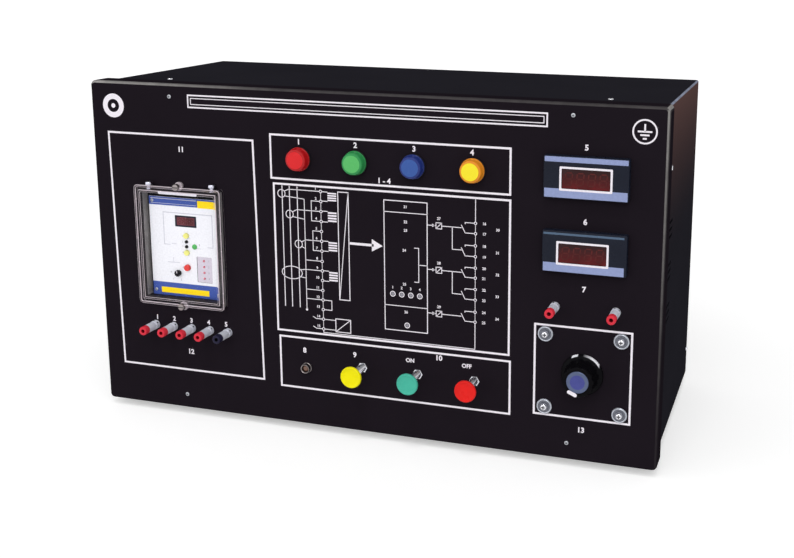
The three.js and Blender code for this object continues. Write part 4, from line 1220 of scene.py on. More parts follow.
@dataclass
class Captions:
    """Plain numbers at the controls, and the words ON and OFF at the test switch."""

    size: float = 5.4
    word_size: float = 4.2
    numbers: tuple[tuple[str, float, float], ...] = (
        ("1", -64.4, 122.3),
        ("2", -4.0, 122.3),
        ("3", 56.8, 122.3),
        ("4", 115.1, 122.3),
        ("1 - 4", 25.6, 89.0),
        ("5", 224.9, 133.2),
        ("6", 225.2, 63.4),
        ("7", 225.5, -1.5),
        ("8", -63.8, -93.7),
        ("9", -8.3, -92.4),
        ("ON", 51.3, -91.4),
        ("10", 81.5, -85.5),
        ("OFF", 110.5, -90.5),
        ("11", -197.0, 107.0),
        ("12", -196.3, -110.0),
        ("13", 225.8, -142.0),
    )
    post_numbers: tuple[float, ...] = (-235.0, -214.6, -194.2, -173.8, -153.3)
    post_level: float = -75.5

    def build(self) -> None:
        """Prints the numbers."""
        piece = Piece("panel_numbers", WHITE_INK).at(seat_on_panel(0, 0))
        for words, u, v in self.numbers:
            size = self.word_size if words.isalpha() else self.size
            piece.lettering(words, art(u, v), size * UNIT, PRINT_LIFT, weight=0.05)
        for index, u in enumerate(self.post_numbers, 1):
            piece.lettering(str(index), art(u, self.post_level), 5.0 * UNIT, PRINT_LIFT, weight=0.05)
        piece.make(CABINET, printed=True)


@dataclass
class Schematic:
    """The wiring diagram in the middle of the panel, drawn as a plain schematic with numbers."""

    thin: float = 0.75
    thick: float = 1.5
    number_size: float = 2.7
    nodes: tuple[float, ...] = (
        74.1, 64.0, 53.8, 43.6, 33.4, 23.4, 13.2, 2.6, -7.3, -17.3, -27.8, -37.7, -47.8, -58.0, -68.3,
    )
    node_column: float = -42.0
    contacts: tuple[float, ...] = (54.3, 44.1, 32.1, 21.4, 10.1, 0.1, -11.4, -21.9, -34.1, -44.3)
    contact_column: float = 118.8
    phases: tuple[float, ...] = (-84.0, -76.0, -67.5)
    neutral: float = -60.0
    transformers: tuple[Point, ...] = ((-84.8, 69.3), (-76.4, 48.7), (-67.3, 18.5))
    coils: tuple[Point, ...] = ((74.0, 64.6), (54.4, 43.5), (23.8, 13.5), (-7.0, -17.6))
    relays: tuple[float, ...] = (48.9, 4.6, -39.7)

    def build(self) -> None:
        """Prints the diagram."""
        self.piece = Piece("panel_diagram", WHITE_INK, GREY_INK).at(seat_on_panel(0, 0))
        self._supply_lines()
        self._terminal_column()
        self._coil_blocks()
        self._controller()
        self._contact_side()
        self.piece.make(CABINET, printed=True)

    def _run(self, points: Sequence[Point], width: float | None = None) -> None:
        """Prints a line through points of the artwork."""
        self.piece.line([art(u, v) for u, v in points], (width or self.thin) * UNIT, PRINT_LIFT)

    def _ring(self, u: float, v: float, radius: float, width: float = 0.7) -> None:
        """Prints a ring of the artwork."""
        self.piece.ring_line(art(u, v), radius * UNIT, width * UNIT, PRINT_LIFT)

    def _dot(self, u: float, v: float, radius: float) -> None:
        """Prints a filled disc of the artwork."""
        self.piece.flat(shifted(circle(radius * UNIT, 24), *art(u, v)), PRINT_LIFT)

    def _small_lamp(self, u: float, v: float) -> None:
        """Prints a small lamp as a grey dot in a ring."""
        self._ring(u, v, 2.9, 0.8)
        self.piece.flat(shifted(circle(1.6 * UNIT, 20), *art(u, v)), PRINT_LIFT, 1)

    def _box(self, u0: float, v0: float, u1: float, v1: float, width: float | None = None) -> None:
        """Prints a rectangle of the artwork."""
        self.piece.frame_line(art(u0, v0), art(u1, v1), (width or self.thin) * UNIT, PRINT_LIFT)

    def _number(self, value: int, u: float, v: float) -> None:
        """Prints a number of the artwork."""
        self.piece.lettering(
            str(value), art(u, v), self.number_size * UNIT, PRINT_LIFT, weight=0.04
        )

    def _supply_lines(self) -> None:
        """Prints the supply lines with their current transformers."""
        for u in self.phases:
            self._run([(u, 77.5), (u, -48)], 0.9)
        self._run([(self.neutral, 65), (self.neutral, -49)])
        self._dot(self.neutral, -49.5, 1.2)
        node_levels = (74.1, 53.8, 23.4)
        for (u, v), level in zip(self.transformers, node_levels):
            self._ring(u, v, 4.4, 0.8)
            self._run([(u + 3.4, v + 2.6), (u + 8, level), (self.node_column - 1.7, level)])
            self._run([(u + 3.6, v - 2.4), (self.neutral, v - 4.2)])
        steps = 36
        outer = []
        inner = []
        for k in range(steps):
            angle = 2 * math.pi * k / steps
            c, s = math.cos(angle), math.sin(angle)
            outer.append(art(-75.4 + 11.6 * c, -11.9 + 7.0 * s))
            inner.append(art(-75.4 + 10.8 * c, -11.9 + 6.2 * s))
        self.piece.flat_ring(outer, inner, PRINT_LIFT)
        self._run([(-65.5, -8.2), (-60.5, -7.3), (self.node_column - 1.7, -7.3)])
        self._run([(-66.0, -15.6), (-60.0, -16.4)])

    def _terminal_column(self) -> None:
        """Prints the numbered terminals and their links."""
        u = self.node_column
        for number, v in enumerate(self.nodes, 1):
            self._ring(u, v, 1.7)
            self._number(number, -47.4, v + 2.6)
        for near, far in zip(self.nodes, self.nodes[1:]):
            self._run([(u, near - 1.7), (u, far + 1.7)], 0.5)
        self._run([(u, self.nodes[-1] - 1.7), (u, -72.0), (119.2, -72.0)])
        for top, bottom, reach in ((64.0, 43.6, -52.4), (33.4, 13.2, -51.4)):
            self._run([(u - 1.7, top), (reach, top), (reach, bottom), (u - 1.7, bottom)])
        for v in (2.6, -27.8, -37.7):
            self._run([(u - 1.7, v), (self.neutral, v)])
        self._run([(u + 1.7, -37.7), (-32.4, -37.7), (-32.4, -47.8), (u + 1.7, -47.8)])
        for v in self.nodes[-2:]:
            self._run([(u - 1.7, v), (-50.0, v), (-53.5, v + 2.0)])

    def _coil_blocks(self) -> None:
        """Prints the striped coils, the tall frame beside them and the arrow."""
        for top, bottom in self.coils:
            rows = 4
            pitch = (top - bottom) / rows
            for k in range(rows):
                level = bottom + (k + 0.5) * pitch
                self._run([(-34.6, level), (-25.2, level)], 0.62 * pitch)
            for level in (top, bottom):
                self._run([(self.node_column + 1.7, level), (-34.6, level)])
        self._box(-24.0, -36.0, -12.0, 75.4, 0.9)
        self._run([(-12.6, 74.6), (-23.4, -35.2)])
        self._run([(-11.7, 23.8), (14.0, 23.8)], 2.5)
        head = [art(12, 17.6), art(23.4, 23.8), art(12, 30.0)]
        self.piece.flat(head, PRINT_LIFT)
        self._box(-28.9, -70.3, -11.8, -55.7, 0.9)
        self._run([(-12.4, -56.3), (-28.3, -69.7)])
        for v in self.nodes[-2:]:
            self._run([(self.node_column + 1.7, v), (-28.9, v)])

    def _controller(self) -> None:
        """Prints the controller's box with its inputs."""
        self._box(24.7, -61.5, 70.3, 71.0, 0.9)
        self._run([(24.7, 59.1), (70.3, 59.1)])
        self._run([(24.7, -35.6), (70.3, -35.6)])
        for number, (u, v) in enumerate(((47.5, 65.0), (47.5, 50.0), (47.5, 41.5)), 21):
            self._number(number, u, v)
        for number, v in ((24, 21.4), (25, -13.0)):
            self._number(number, 46.0, v)
        self._run([(56.4, 24.7), (61.0, 24.7), (61.0, -9.7), (56.4, -9.7)])
        self._run([(61.0, 7.8), (70.3, 7.8)])
        for number, u in enumerate((33.6, 43.0, 52.5, 61.9), 1):
            self._small_lamp(u, -23.8)
            self._number(number, u, -17.2)
        self._number(26, 47.5, -41.5)
        self._small_lamp(48.5, -55.1)

    def _contact_side(self) -> None:
        """Prints the output relays and the numbered contacts."""
        u = self.contact_column
        self._run([(u, 77.7), (u, 56.0)])
        for near, far in zip(self.contacts, self.contacts[1:]):
            self._run([(u, near - 1.6), (u, far + 1.6)], 0.5)
        self._run([(u, self.contacts[-1] - 1.6), (u, -72.0)])
        for number, v in enumerate(self.contacts, 16):
            self._ring(u, v, 1.6)
            self._number(number, 127.6, v)
        for number, v in enumerate(self.relays, 27):
            self._box(78.5, v - 3.3, 85.1, v + 3.3)
            self._run([(78.9, v - 2.9), (84.7, v + 2.9)])
            self._run([(70.3, v), (78.5, v)])
            self.piece.flat([art(75.0, v - 1.7), art(78.3, v), art(75.0, v + 1.7)], PRINT_LIFT)
            self._number(number, 81.8, v + 7.0)
            self._run([(85.1, v), (105.0, v)])
        for top, bottom in ((48.9, 26.9), (4.6, -17.5)):
            self._run([(95.5, top), (95.5, bottom), (105.0, bottom)])
        for upper, lower in zip(self.contacts[::2], self.contacts[1::2]):
            middle = (upper + lower) / 2
            self._run([(u - 1.6, upper), (108.5, upper), (108.5, upper - 1.6)])
            self._run([(u - 1.6, lower), (108.5, lower)])
            self._run([(108.5, lower), (104.6, middle + 2.6)])
            self._number(30 + self.contacts.index(upper) // 2, 141.0, middle)


# Controls on the panel


@dataclass(frozen=True)
class LampColour:
    """The two depths of colour of an indication lamp: of its flat front and of its skirt."""

    name: str
    front: Colour
    skirt: Colour


@dataclass
class IndicationLamp:
    """Indication lamp: a tapered lens with a flat front, its bezel, and a barrel through the panel."""

    colour: LampColour
    bezel_height: float = 2.0 * MM
    barrel: float = 10.6 * MM
    terminal: float = 8.2 * MM
    front_share: float = 0.72

    def build(self) -> None:
        """Builds the lamp over its two CAD nodes."""
        name = self.colour.name
        lens_node, holder_node = "lamp_lens_" + name, "lamp_holder_" + name
        x, z = centre_of(lens_node)
        low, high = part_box(lens_node)
        r, reach = (high.x - low.x) / 2, PANEL_FACE - low.y
        front = LampLens(f"lens_{name}_front", self.colour.front, axis=(x, z), glow=0.16)
        skirt = LampLens(f"lens_{name}_skirt", self.colour.skirt, axis=(x, z), glow=0.05)
        lens = Piece(lens_node + "_moulding", front, skirt).at(seat_on_panel(x, z))
        disc = self.front_share * r
        shoulder = 0.9 * r
        profile = [
            (0, reach),
            (0.5 * disc, reach - 0.02 * MM),
            (disc, reach - 0.3 * MM),
            (disc + 0.4 * MM, reach - 0.75 * MM),
            (shoulder - 0.5 * MM, reach - 1.3 * MM),
            (shoulder, reach - 2.2 * MM),
            (0.97 * r, 4.4 * MM),
            (r, 4.0 * MM),
            (r, 2.7 * MM),
            (0, 2.7 * MM),
        ]
        lens.turn(profile, [0, 0, 1, 1, 1, 1, 1, 1, 1], 64)
        lens.make(CABINET, [lens_node], f"{name}_plastic", crease=28)
        self._build_holder(holder_node, x, z, r)

    def _build_holder(self, node: str, x: float, z: float, r: float) -> None:
        """Builds the bezel, the barrel, and the two terminals behind."""
        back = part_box(node)[1].y - PANEL_FACE
        holder = Piece(node + "_body", BLACK_PLASTIC, NICKEL).at(seat_on_panel(x, z))
        flange = r + 0.35 * MM
        holder.turn(
            [
                (0, 2.6 * MM),
                (r - 0.4 * MM, 2.6 * MM),
                (r, self.bezel_height),
                (flange - 0.5 * MM, self.bezel_height),
                (flange, self.bezel_height - 0.5 * MM),
                (flange, 0.05 * MM),
                (self.barrel, 0.05 * MM),
                (self.barrel, -18 * MM),
                (self.terminal, -18.5 * MM),
                (self.terminal, -back + 3 * MM),
                (0, -back + 3 * MM),
            ],
            0,
            56,
        )
        for side in (-1, 1):
            holder.slab(
                4 * MM, 0.8 * MM, -back, -back + 3.5 * MM, 0.2 * MM, 1, (side * 4 * MM, 0), 0.1 * MM
            )
        holder.make(CABINET, [node], "black_plastic")


STEM = 3.1 * MM
NECK = 4.8 * MM
NUT_ACROSS = 11.4 * MM


@dataclass
class PushButton:
    """Push button: a large round head on a steel stem, a threaded neck with its nut, and its block."""

    name: str
    finish: Finish
    slot: str
    pitch: float = 1.0 * MM
    nut_height: float = 2.5 * MM
    rim: float = 1.6 * MM
    terminal_spacing: float = 6 * MM

    def build(self) -> None:
        """Builds the moving head and the fixed body."""
        head_node, body_node = "button_head_" + self.name, "button_body_" + self.name
        x, z = centre_of(head_node)
        self._build_head(head_node, x, z)
        self._build_body(body_node, x, z)

    def _build_head(self, node: str, x: float, z: float) -> None:
        """Builds the domed head and its stem."""
        low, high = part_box(node)
        r, reach = (high.z - low.z) / 2, PANEL_FACE - low.y
        tail = PANEL_FACE - high.y
        head = Piece(node + "_moulding", self.finish, CHROME).at(seat_on_panel(x, z))
        thickness, disc = 8 * MM, r - self.rim
        profile = [
            (0, reach - 0.35 * MM),
            (0.7 * disc, reach - 0.3 * MM),
            (disc - 0.3 * MM, reach - 0.2 * MM),
            (disc, reach),
            (r - 0.8 * MM, reach - 0.1 * MM),
            (r - 0.2 * MM, reach - 0.7 * MM),
            (r, reach - 1.6 * MM),
            (r, reach - 2.8 * MM),
            (r - 0.5 * MM, reach - 4.0 * MM),
            (r - 4.2 * MM, reach - thickness + 0.6 * MM),
            (r - 4.8 * MM, reach - thickness),
            (STEM, reach - thickness),
            (STEM, tail),
            (0, tail),
        ]
        head.turn(profile, [0] * 11 + [1, 1], 64)
        head.make("button_" + self.name, [node], self.slot, crease=50)

    def _build_body(self, node: str, x: float, z: float) -> None:
        """Builds the threaded neck, its nut, and the contact block behind the panel."""
        low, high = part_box(node)
        reach, back = PANEL_FACE - low.y, high.y - PANEL_FACE
        body = Piece(node + "_metal", CHROME, BLACK_PLASTIC, BRASS).at(seat_on_panel(x, z))
        hexagonal, eased = hexagon(NUT_ACROSS), hexagon(NUT_ACROSS - 1.0 * MM)
        body.loft(
            [
                (hexagonal, 0.05 * MM),
                (hexagonal, self.nut_height - 0.5 * MM),
                (eased, self.nut_height),
            ],
            0,
        )
        thread = [(NECK, self.nut_height)]
        turns = int((reach - 1.2 * MM - self.nut_height) / self.pitch)
        for k in range(turns):
            level = self.nut_height + k * self.pitch
            thread += [(NECK - 0.3 * MM, level + 0.5 * self.pitch), (NECK, level + self.pitch)]
        thread += [
            (NECK, reach - 0.5 * MM),
            (NECK - 0.5 * MM, reach),
            (STEM + 0.3 * MM, reach),
            (STEM + 0.3 * MM, reach - 3 * MM),
        ]
        body.turn(thread, 0, 48)
        body.slab(high.x - low.x, high.z - low.z, -back + 1 * MM, -2.4 * MM, 1.5 * MM, 1)
        for side in (-1, 1):
            for up in (-1, 1):
                centre = (side * self.terminal_spacing, up * self.terminal_spacing)
                body.slab(4 * MM, 4 * MM, -back, -back + 1.2 * MM, 1 * MM, 2, centre, 0.2 * MM)
        body.make(CABINET, [node], "chrome", crease=30)


@dataclass
class PowerLight:
    """Small lamp in a turned bezel, with a clear dome over its chip."""

    lens: float = 4.4 * MM

    def build(self) -> None:
        """Builds the light over its CAD node."""
        node = "power_light"
        x, z = centre_of(node)
        low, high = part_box(node)
        r, reach, back = (high.z - low.z) / 2, PANEL_FACE - low.y, high.y - PANEL_FACE
        dome = Moulded("power_light_dome", linear(116, 84, 70), roughness=0.12, gloss=0.5)
        piece = Piece(node + "_bezel", THUMB_METAL, dome, BLACK_PLASTIC).at(seat_on_panel(x, z))
        piece.turn(
            [
                (self.lens, 1.6 * MM),
                (self.lens + 0.5 * MM, 2.4 * MM),
                (0.72 * r, reach - 0.5 * MM),
                (0.8 * r, reach),
                (0.86 * r, reach - 0.2 * MM),
                (0.9 * r, reach - 1.0 * MM),
                (0.93 * r, 2.0 * MM),
                (r, 1.6 * MM),
                (r, 0.05 * MM),
                (0.62 * r, 0.05 * MM),
                (0.62 * r, -back + 2 * MM),
                (0, -back + 2 * MM),
            ],
            [0, 0, 0, 0, 0, 0, 0, 0, 0, 2, 2],
            48,
        )
        profile = [(self.lens, 1.6 * MM)]
        for k in range(1, 7):
            angle = k / 6 * math.pi / 2
            profile.append((self.lens * math.cos(angle), 2.0 * MM + 0.8 * self.lens * math.sin(angle)))
        piece.turn(profile, 1, 32)
        piece.make(CABINET, [node], "chrome")


@dataclass(frozen=True)
class Stripe:
    """A stripe printed across a meter's face, between two heights, cut short at its right end."""

    low: float
    high: float
    dim: bool = False
    cut: float = 0.0


@dataclass
class DigitalMeter:
    """Panel meter: a dark case with two printed stripes, an outlined red window and unlit digits."""

    node: str
    stripes: tuple[Stripe, ...]
    aside: float = 0.0
    digits: int = 4
    line: float = 2.3 * MM
    edge: float = 1.2 * MM
    digit_height: float = 13.5 * MM
    digit_width: float = 7.6 * MM
    stroke: float = 1.5 * MM
    stripe_inset: float = 0.4 * MM
    drop: float = 1.5 * MM

    def build(self) -> None:
        """Builds the case and the window over their CAD nodes."""
        case, window = self.node + "_case", self.node + "_window"
        x, z = centre_of(case)
        low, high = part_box(case)
        self.width, self.height = high.x - low.x, high.z - low.z
        self.reach, self.back = PANEL_FACE - low.y, high.y - PANEL_FACE
        low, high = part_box(window)
        self.window_width, self.window_height = high.x - low.x, high.z - low.z
        self.window_face = PANEL_FACE - low.y
        self._build_case(case, x, z)
        self._build_window(window, x, z)

    def _build_case(self, node: str, x: float, z: float) -> None:
        """Builds the bezel round the window, the housing behind the panel, and the print."""
        piece = Piece(node + "_moulding", METER_PLASTIC, STRIPE_INK, DIM_STRIPE_INK, WHITE_INK)
        piece.at(seat_on_panel(x, z))
        w, h, e = self.width, self.height, self.edge
        rim_width, rim_height = self.window_width - 2 * self.line, self.window_height - 1.7 * self.line
        middle = (self.aside, -self.drop)
        rim = shifted(rounded(rim_width, rim_height, 1.2 * MM), *middle)
        well = shifted(rounded(rim_width - 0.4 * MM, rim_height - 0.4 * MM, 1 * MM), *middle)
        piece.loft(
            [
                (rounded(w, h, 2 * MM), 0.05 * MM),
                (rounded(w, h, 2 * MM), self.reach - e),
                (rounded(w - 0.7 * e, h - 0.7 * e, 2 * MM), self.reach - 0.3 * e),
                (rounded(w - 2 * e, h - 2 * e, 1.5 * MM), self.reach),
                (rim, self.reach),
                (well, self.window_face + 0.1 * MM),
            ],
            0,
            (True, False),
        )
        piece.slab(w - 6 * MM, h - 5 * MM, -self.back, -2.4 * MM, 1 * MM)
        level = self.reach + PRINT_LIFT
        for stripe in self.stripes:
            width = w - 2 * e - self.stripe_inset - stripe.cut
            shape = rounded(width, stripe.high - stripe.low, 0.2 * MM, 2)
            centre = (-stripe.cut / 2, (stripe.low + stripe.high) / 2)
            piece.flat(shifted(shape, *centre), level, 2 if stripe.dim else 1)
        outline = rounded(rim_width + 2 * self.line, rim_height + 2 * self.line, 1.0 * MM)
        piece.flat_ring(shifted(outline, *middle), rim, level + 0.03 * MM, 3)
        piece.make(CABINET, [node], "black_plastic")

    def _build_window(self, node: str, x: float, z: float) -> None:
        """Builds the tinted window and the segments that show through it."""
        pane = Window(
            node + "_red", linear(98, 16, 20), shade=linear(48, 20, 22), low=z - 14 * MM, high=z + 6 * MM
        )
        piece = Piece(node + "_pane", pane, SEGMENT_RED).at(seat_on_panel(x, z))
        piece.slab(
            self.window_width, self.window_height, self.window_face - 1.4 * MM, self.window_face, 1 * MM
        )
        pitch = self.window_width / (self.digits + 0.6)
        for index in range(self.digits):
            centre = ((index - (self.digits - 1) / 2) * pitch + self.aside, -self.drop)
            size = (self.digit_width, self.digit_height)
            add_digit(piece, centre, size, self.stroke, self.window_face + PRINT_LIFT, 1)
        piece.make(CABINET, [node], "meter_window")


def add_digit(
    piece: Piece, centre: Point, size: tuple[float, float], stroke: float, height: float, finish: int
) -> None:
    """Prints the seven segments of an unlit digit, leaning a little to the right.

    Args:
        piece: the piece that takes them.
        centre: middle of the digit.
        size: its width and height.
        stroke: width of a segment.
        height: level of the print.
        finish: finish of the segments.
    """
    w, h = size[0] / 2, size[1] / 2
    ends = (
        ((-w, h), (w, h)),
        ((-w, 0), (w, 0)),
        ((-w, -h), (w, -h)),
        ((-w, 0), (-w, h)),
        ((w, 0), (w, h)),
        ((-w, -h), (-w, 0)),
        ((w, -h), (w, 0)),
    )
    gap, lean = 0.35 * stroke, 0.1
    for (x0, y0), (x1, y1) in ends:
        run = Vector((x1 - x0, y1 - y0)).normalized()
        side = Vector((-run.y, run.x)) * stroke / 2
        start = Vector((x0, y0)) + run * gap
        stop = Vector((x1, y1)) - run * gap
        tip = run * stroke / 2
        corners = (start, start + tip - side, stop - tip - side, stop, stop - tip + side, start + tip + side)
        outline = [(centre[0] + p.x + lean * p.y, centre[1] + p.y) for p in corners]
        piece.flat(outline, height, finish)


@dataclass
class RelayFace:
    """The relay module's printed face: header, footer, display, fields and small lamps."""

    node: str = "relay_module"
    width: float = 98 * MM
    height: float = 128 * MM
    depth: float = 2.5 * MM
    header: tuple[float, float] = (53.0 * MM, 63.6 * MM)
    footer: tuple[float, float] = (-64.0 * MM, -46.8 * MM)
    window: tuple[float, float, float, float] = (2.06 * MM, 34.05 * MM, 30 * MM, 14.4 * MM)
    lights: tuple[float, float, float, float] = (25.87 * MM, -26.5 * MM, 21 * MM, 33 * MM)
    print_lift: float = 0.05 * MM
    shift: Point = (1.2 * MM, -3.2 * MM)

    def build(self) -> None:
        """Dresses the chassis and prints the face, which lies a little off the chassis's middle."""
        dress(self.node, BLACK_PLASTIC, 0.3 * MM)
        x, z = centre_of(self.node)
        x, z = x + self.shift[0], z + self.shift[1]
        self.seat = seat_on_panel(x, z)
        self.level = -self.depth + self.print_lift
        self._print_sheet(x, z)
        self._print_marks()
        self._build_window()
        self._build_lights()

    def _holes(self, x: float, z: float) -> list[list[Point]]:
        """Returns the outlines that the printed sheet leaves open round the controls."""
        holes = []
        nodes = [f"relay_key_{name}" for name in ("upper", "up", "down", "lower")]
        for node in nodes + ["relay_reset_button"]:
            low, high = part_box(node)
            radius = (high.x - low.x) / 2 + 0.25 * MM
            cx, cz = centre_of(node)
            holes.append(shifted(circle(radius, 24), cx - x, cz - z))
        cx, cz = centre_of("relay_selector")
        holes.append(shifted(circle(1.9 * MM, 16), cx - x, cz - z))
        for cx, cz, w, h in (self.window, self.lights):
            holes.append(shifted(rounded(w + 0.1 * MM, h + 0.1 * MM, 1 * MM), cx, cz))
        return holes

    def _print_sheet(self, x: float, z: float) -> None:
        """Prints the white ground with its openings."""
        piece = Piece("relay_face_sheet", RELAY_WHITE).at(self.seat)
        outline = rounded(self.width - 0.3 * MM, self.height - 0.3 * MM, 1 * MM)
        piece.sheet(outline, self._holes(x, z), self.level)
        piece.make(CABINET, printed=True)

    def _print_marks(self) -> None:
        """Prints the header, the footer, the frames and plain numbers."""
        piece = Piece(
            "relay_face_print", RELAY_BLUE, RELAY_YELLOW, RELAY_GREY, GREY_INK, STEEL, BLACK_PLASTIC
        ).at(self.seat)
        half = self.width / 2 - 0.2 * MM
        above = self.level + 0.04 * MM
        top = above + 0.04 * MM

        def field_at(x0: float, x1: float, z0: float, z1: float, finish: int, level: float) -> None:
            """Prints a rectangle between two corners."""
            outline = rounded(x1 - x0, z1 - z0, 0.3 * MM, 2)
            piece.flat(shifted(outline, (x0 + x1) / 2, (z0 + z1) / 2), level, finish)

        field_at(-half, half, *self.header, 0, above)
        field_at(-half, half, *self.footer, 0, above)
        field_at(19.5 * MM, 47.2 * MM, 52.4 * MM, 61.6 * MM, 1, top)
        field_at(-37.0 * MM, 31.0 * MM, -60.6 * MM, -53.4 * MM, 1, top)
        field_at(-half + 2 * MM, 18 * MM, 60.9 * MM, 61.7 * MM, 2, top)
        field_at(-half + 2 * MM, 18 * MM, 55.0 * MM, 55.5 * MM, 2, top)
        for x0, x1, z0, z1 in (
            (-30.0, 39.6, 43.6, 44.8),
            (-30.0, -28.9, 2.4, 44.8),
            (38.5, 39.6, 2.4, 44.8),
            (-30.0, -21.0, 2.4, 3.3),
            (31.0, 39.6, 2.4, 3.3),
            (-26.0, -8.5, -20.4, -19.6),
            (-18.0, -17.2, -19.6, -13.5),
            (15.0, 22.0, 0.1, 0.8),
            (-19.5, -12.0, 3.9, 4.6),
        ):
            field_at(x0 * MM, x1 * MM, z0 * MM, z1 * MM, 2, above)
        for words, x, z, size in (
            ("1", -3.6, 15.2, 2.4),
            ("2", -3.6, 7.7, 2.0),
            ("3", -3.6, 1.7, 2.0),
            ("4", -3.6, -6.0, 2.4),
            ("5", 20.0, 5.0, 2.4),
            ("6", -4.5, -25.5, 2.4),
            ("0", -22.0, -33.0, 2.4),
            ("1", -19.0, -42.0, 2.4),
            ("2", -8.0, -42.0, 2.4),
        ):
            piece.lettering(words, (x * MM, z * MM), size * MM, above, 3, 0.03)
        piece.make(CABINET, printed=True)
        screws = Piece("relay_face_screws", STEEL, BLACK_PLASTIC)
        head = PanHead(radius=2.2 * MM, height=1.1 * MM, drive=Drive.SLOT)
        for sx, z in ((-1, 58.3), (-1, -57.5), (1, -57.5)):
            shift = Matrix.Translation((sx * 44.4 * MM, z * MM, above))
            head.add(screws, self.seat @ shift)
        screws.make(CABINET)

    def _build_window(self) -> None:
        """Builds the display: a dark frame and a red pane with unlit digits."""
        pane = Window("relay_display_pane", linear(98, 52, 58))
        piece = Piece("relay_display", METER_PLASTIC, pane, SEGMENT_RED).at(self.seat)
        x, z, w, h = self.window
        floor = -self.depth - 0.95 * MM
        piece.slab(w - 0.3 * MM, h - 0.3 * MM, floor, self.level, 0.8 * MM, 0, (x, z), 0.15 * MM)
        inner = shifted(rounded(w - 5 * MM, h - 4 * MM, 0.5 * MM), x, z)
        piece.flat(inner, self.level + 0.04 * MM, 1)
        for index in range(4):
            centre = (x + (index - 1.5) * 5.4 * MM, z)
            add_digit(piece, centre, (3.3 * MM, 6.6 * MM), 0.8 * MM, self.level + 0.08 * MM, 2)
        piece.make(CABINET)

    def _build_lights(self) -> None:
        """Builds the field of four small lamps and the green lamp beside the arrow keys."""
        piece = Piece("relay_lamp_field", LILAC, LED_RED, LED_GREEN, GREY_INK).at(self.seat)
        x, z, w, h = self.lights
        floor = -self.depth - 0.55 * MM
        piece.flat(shifted(rounded(w - 0.1 * MM, h - 0.1 * MM, 1 * MM), x, z), floor, 0)
        for index in range(4):
            level = z + (1.5 - index) * 7.6 * MM
            self._add_dome(piece, (x - 0.8 * MM, level), 1.5 * MM, floor, 1)
            piece.lettering(str(index + 1), (x + 5.5 * MM, level), 2.2 * MM, floor + 0.04 * MM, 3, 0.03)
        self._add_dome(piece, (13.2 * MM, 2.4 * MM), 3.4 * MM, self.level, 2)
        piece.make(CABINET)

    def _add_dome(self, piece: Piece, centre: Point, radius: float, floor: float, finish: int) -> None:
        """Adds a small domed lamp."""
        profile = [(radius, 0.0), (radius, 0.3 * MM)]
        for k in range(1, 5):
            angle = k / 4 * math.pi / 2
            profile.append((radius * math.cos(angle), 0.3 * MM + 0.6 * radius * math.sin(angle)))
        place = self.seat @ Matrix.Translation((centre[0], centre[1], floor))
        piece.at(place).turn(profile, finish, 24)
        piece.at(self.seat)


@dataclass
class RelayKeys:
    """The keys, the reset button and the selector knob on the relay's face."""

    cap_edge: float = 0.4 * MM

    def build(self) -> None:
        """Builds the six controls over their CAD nodes."""
        for name in ("upper", "lower"):
            self._build_key(f"relay_key_{name}", KEY_YELLOW, f"relay_key_{name}_body", "key_yellow")
        for name in ("up", "down"):
            self._build_key(f"relay_key_{name}", BLACK_PLASTIC, f"relay_key_{name}_body", "black_plastic")
        self._build_key("relay_reset_button", RESET_RED, "relay_reset_button_body", "red_plastic")
        self._build_selector()

    def _build_key(self, node: str, finish: Finish, body: str, slot: str) -> None:
        """Builds one key with a shallow dish in its cap."""
        low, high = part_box(node)
        x, z = centre_of(node)
        r, front, back = (high.x - low.x) / 2, PANEL_FACE - low.y, PANEL_FACE - high.y
        e = self.cap_edge
        piece = Piece(node + "_cap", finish).at(seat_on_panel(x, z))
        piece.turn(
            [
                (0, front - 0.35 * MM),
                (0.5 * r, front - 0.28 * MM),
                (r - 1.6 * e, front - 0.05 * MM),
                (r - e, front),
                (r - 0.3 * e, front - 0.3 * e),
                (r, front - e),
                (r, back),
                (0, back),
            ],
            0,
            40,
        )
        piece.make(body, [node], slot)

    def _build_selector(self) -> None:
        """Builds the fluted selector with its pointer line."""
        node = "relay_selector"
        low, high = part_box(node)
        x, z = centre_of(node)
        r, front, back = (high.x - low.x) / 2, PANEL_FACE - low.y, PANEL_FACE - high.y
        foot = -2.0 * MM
        piece = Piece(node + "_knob", GLOSS_BLACK, WHITE_INK).at(seat_on_panel(x, z))
        shape = (0, 0.25, 0.9, 1, 0.9, 0.25)
        full = toothed(r, 10, 0.4 * MM, shape)
        eased = toothed(r - 0.4 * MM, 10, 0.35 * MM, shape)
        piece.loft([(full, foot), (full, front - 0.4 * MM), (eased, front)], 0)
        piece.turn([(1.5 * MM, foot), (1.5 * MM, back), (0, back)], 0, 20)
        piece.line([(0, 0.6 * MM), (0, r - 0.5 * MM)], 0.7 * MM, front + 0.04 * MM, 1)
        piece.make("selector", [node], "black_plastic")


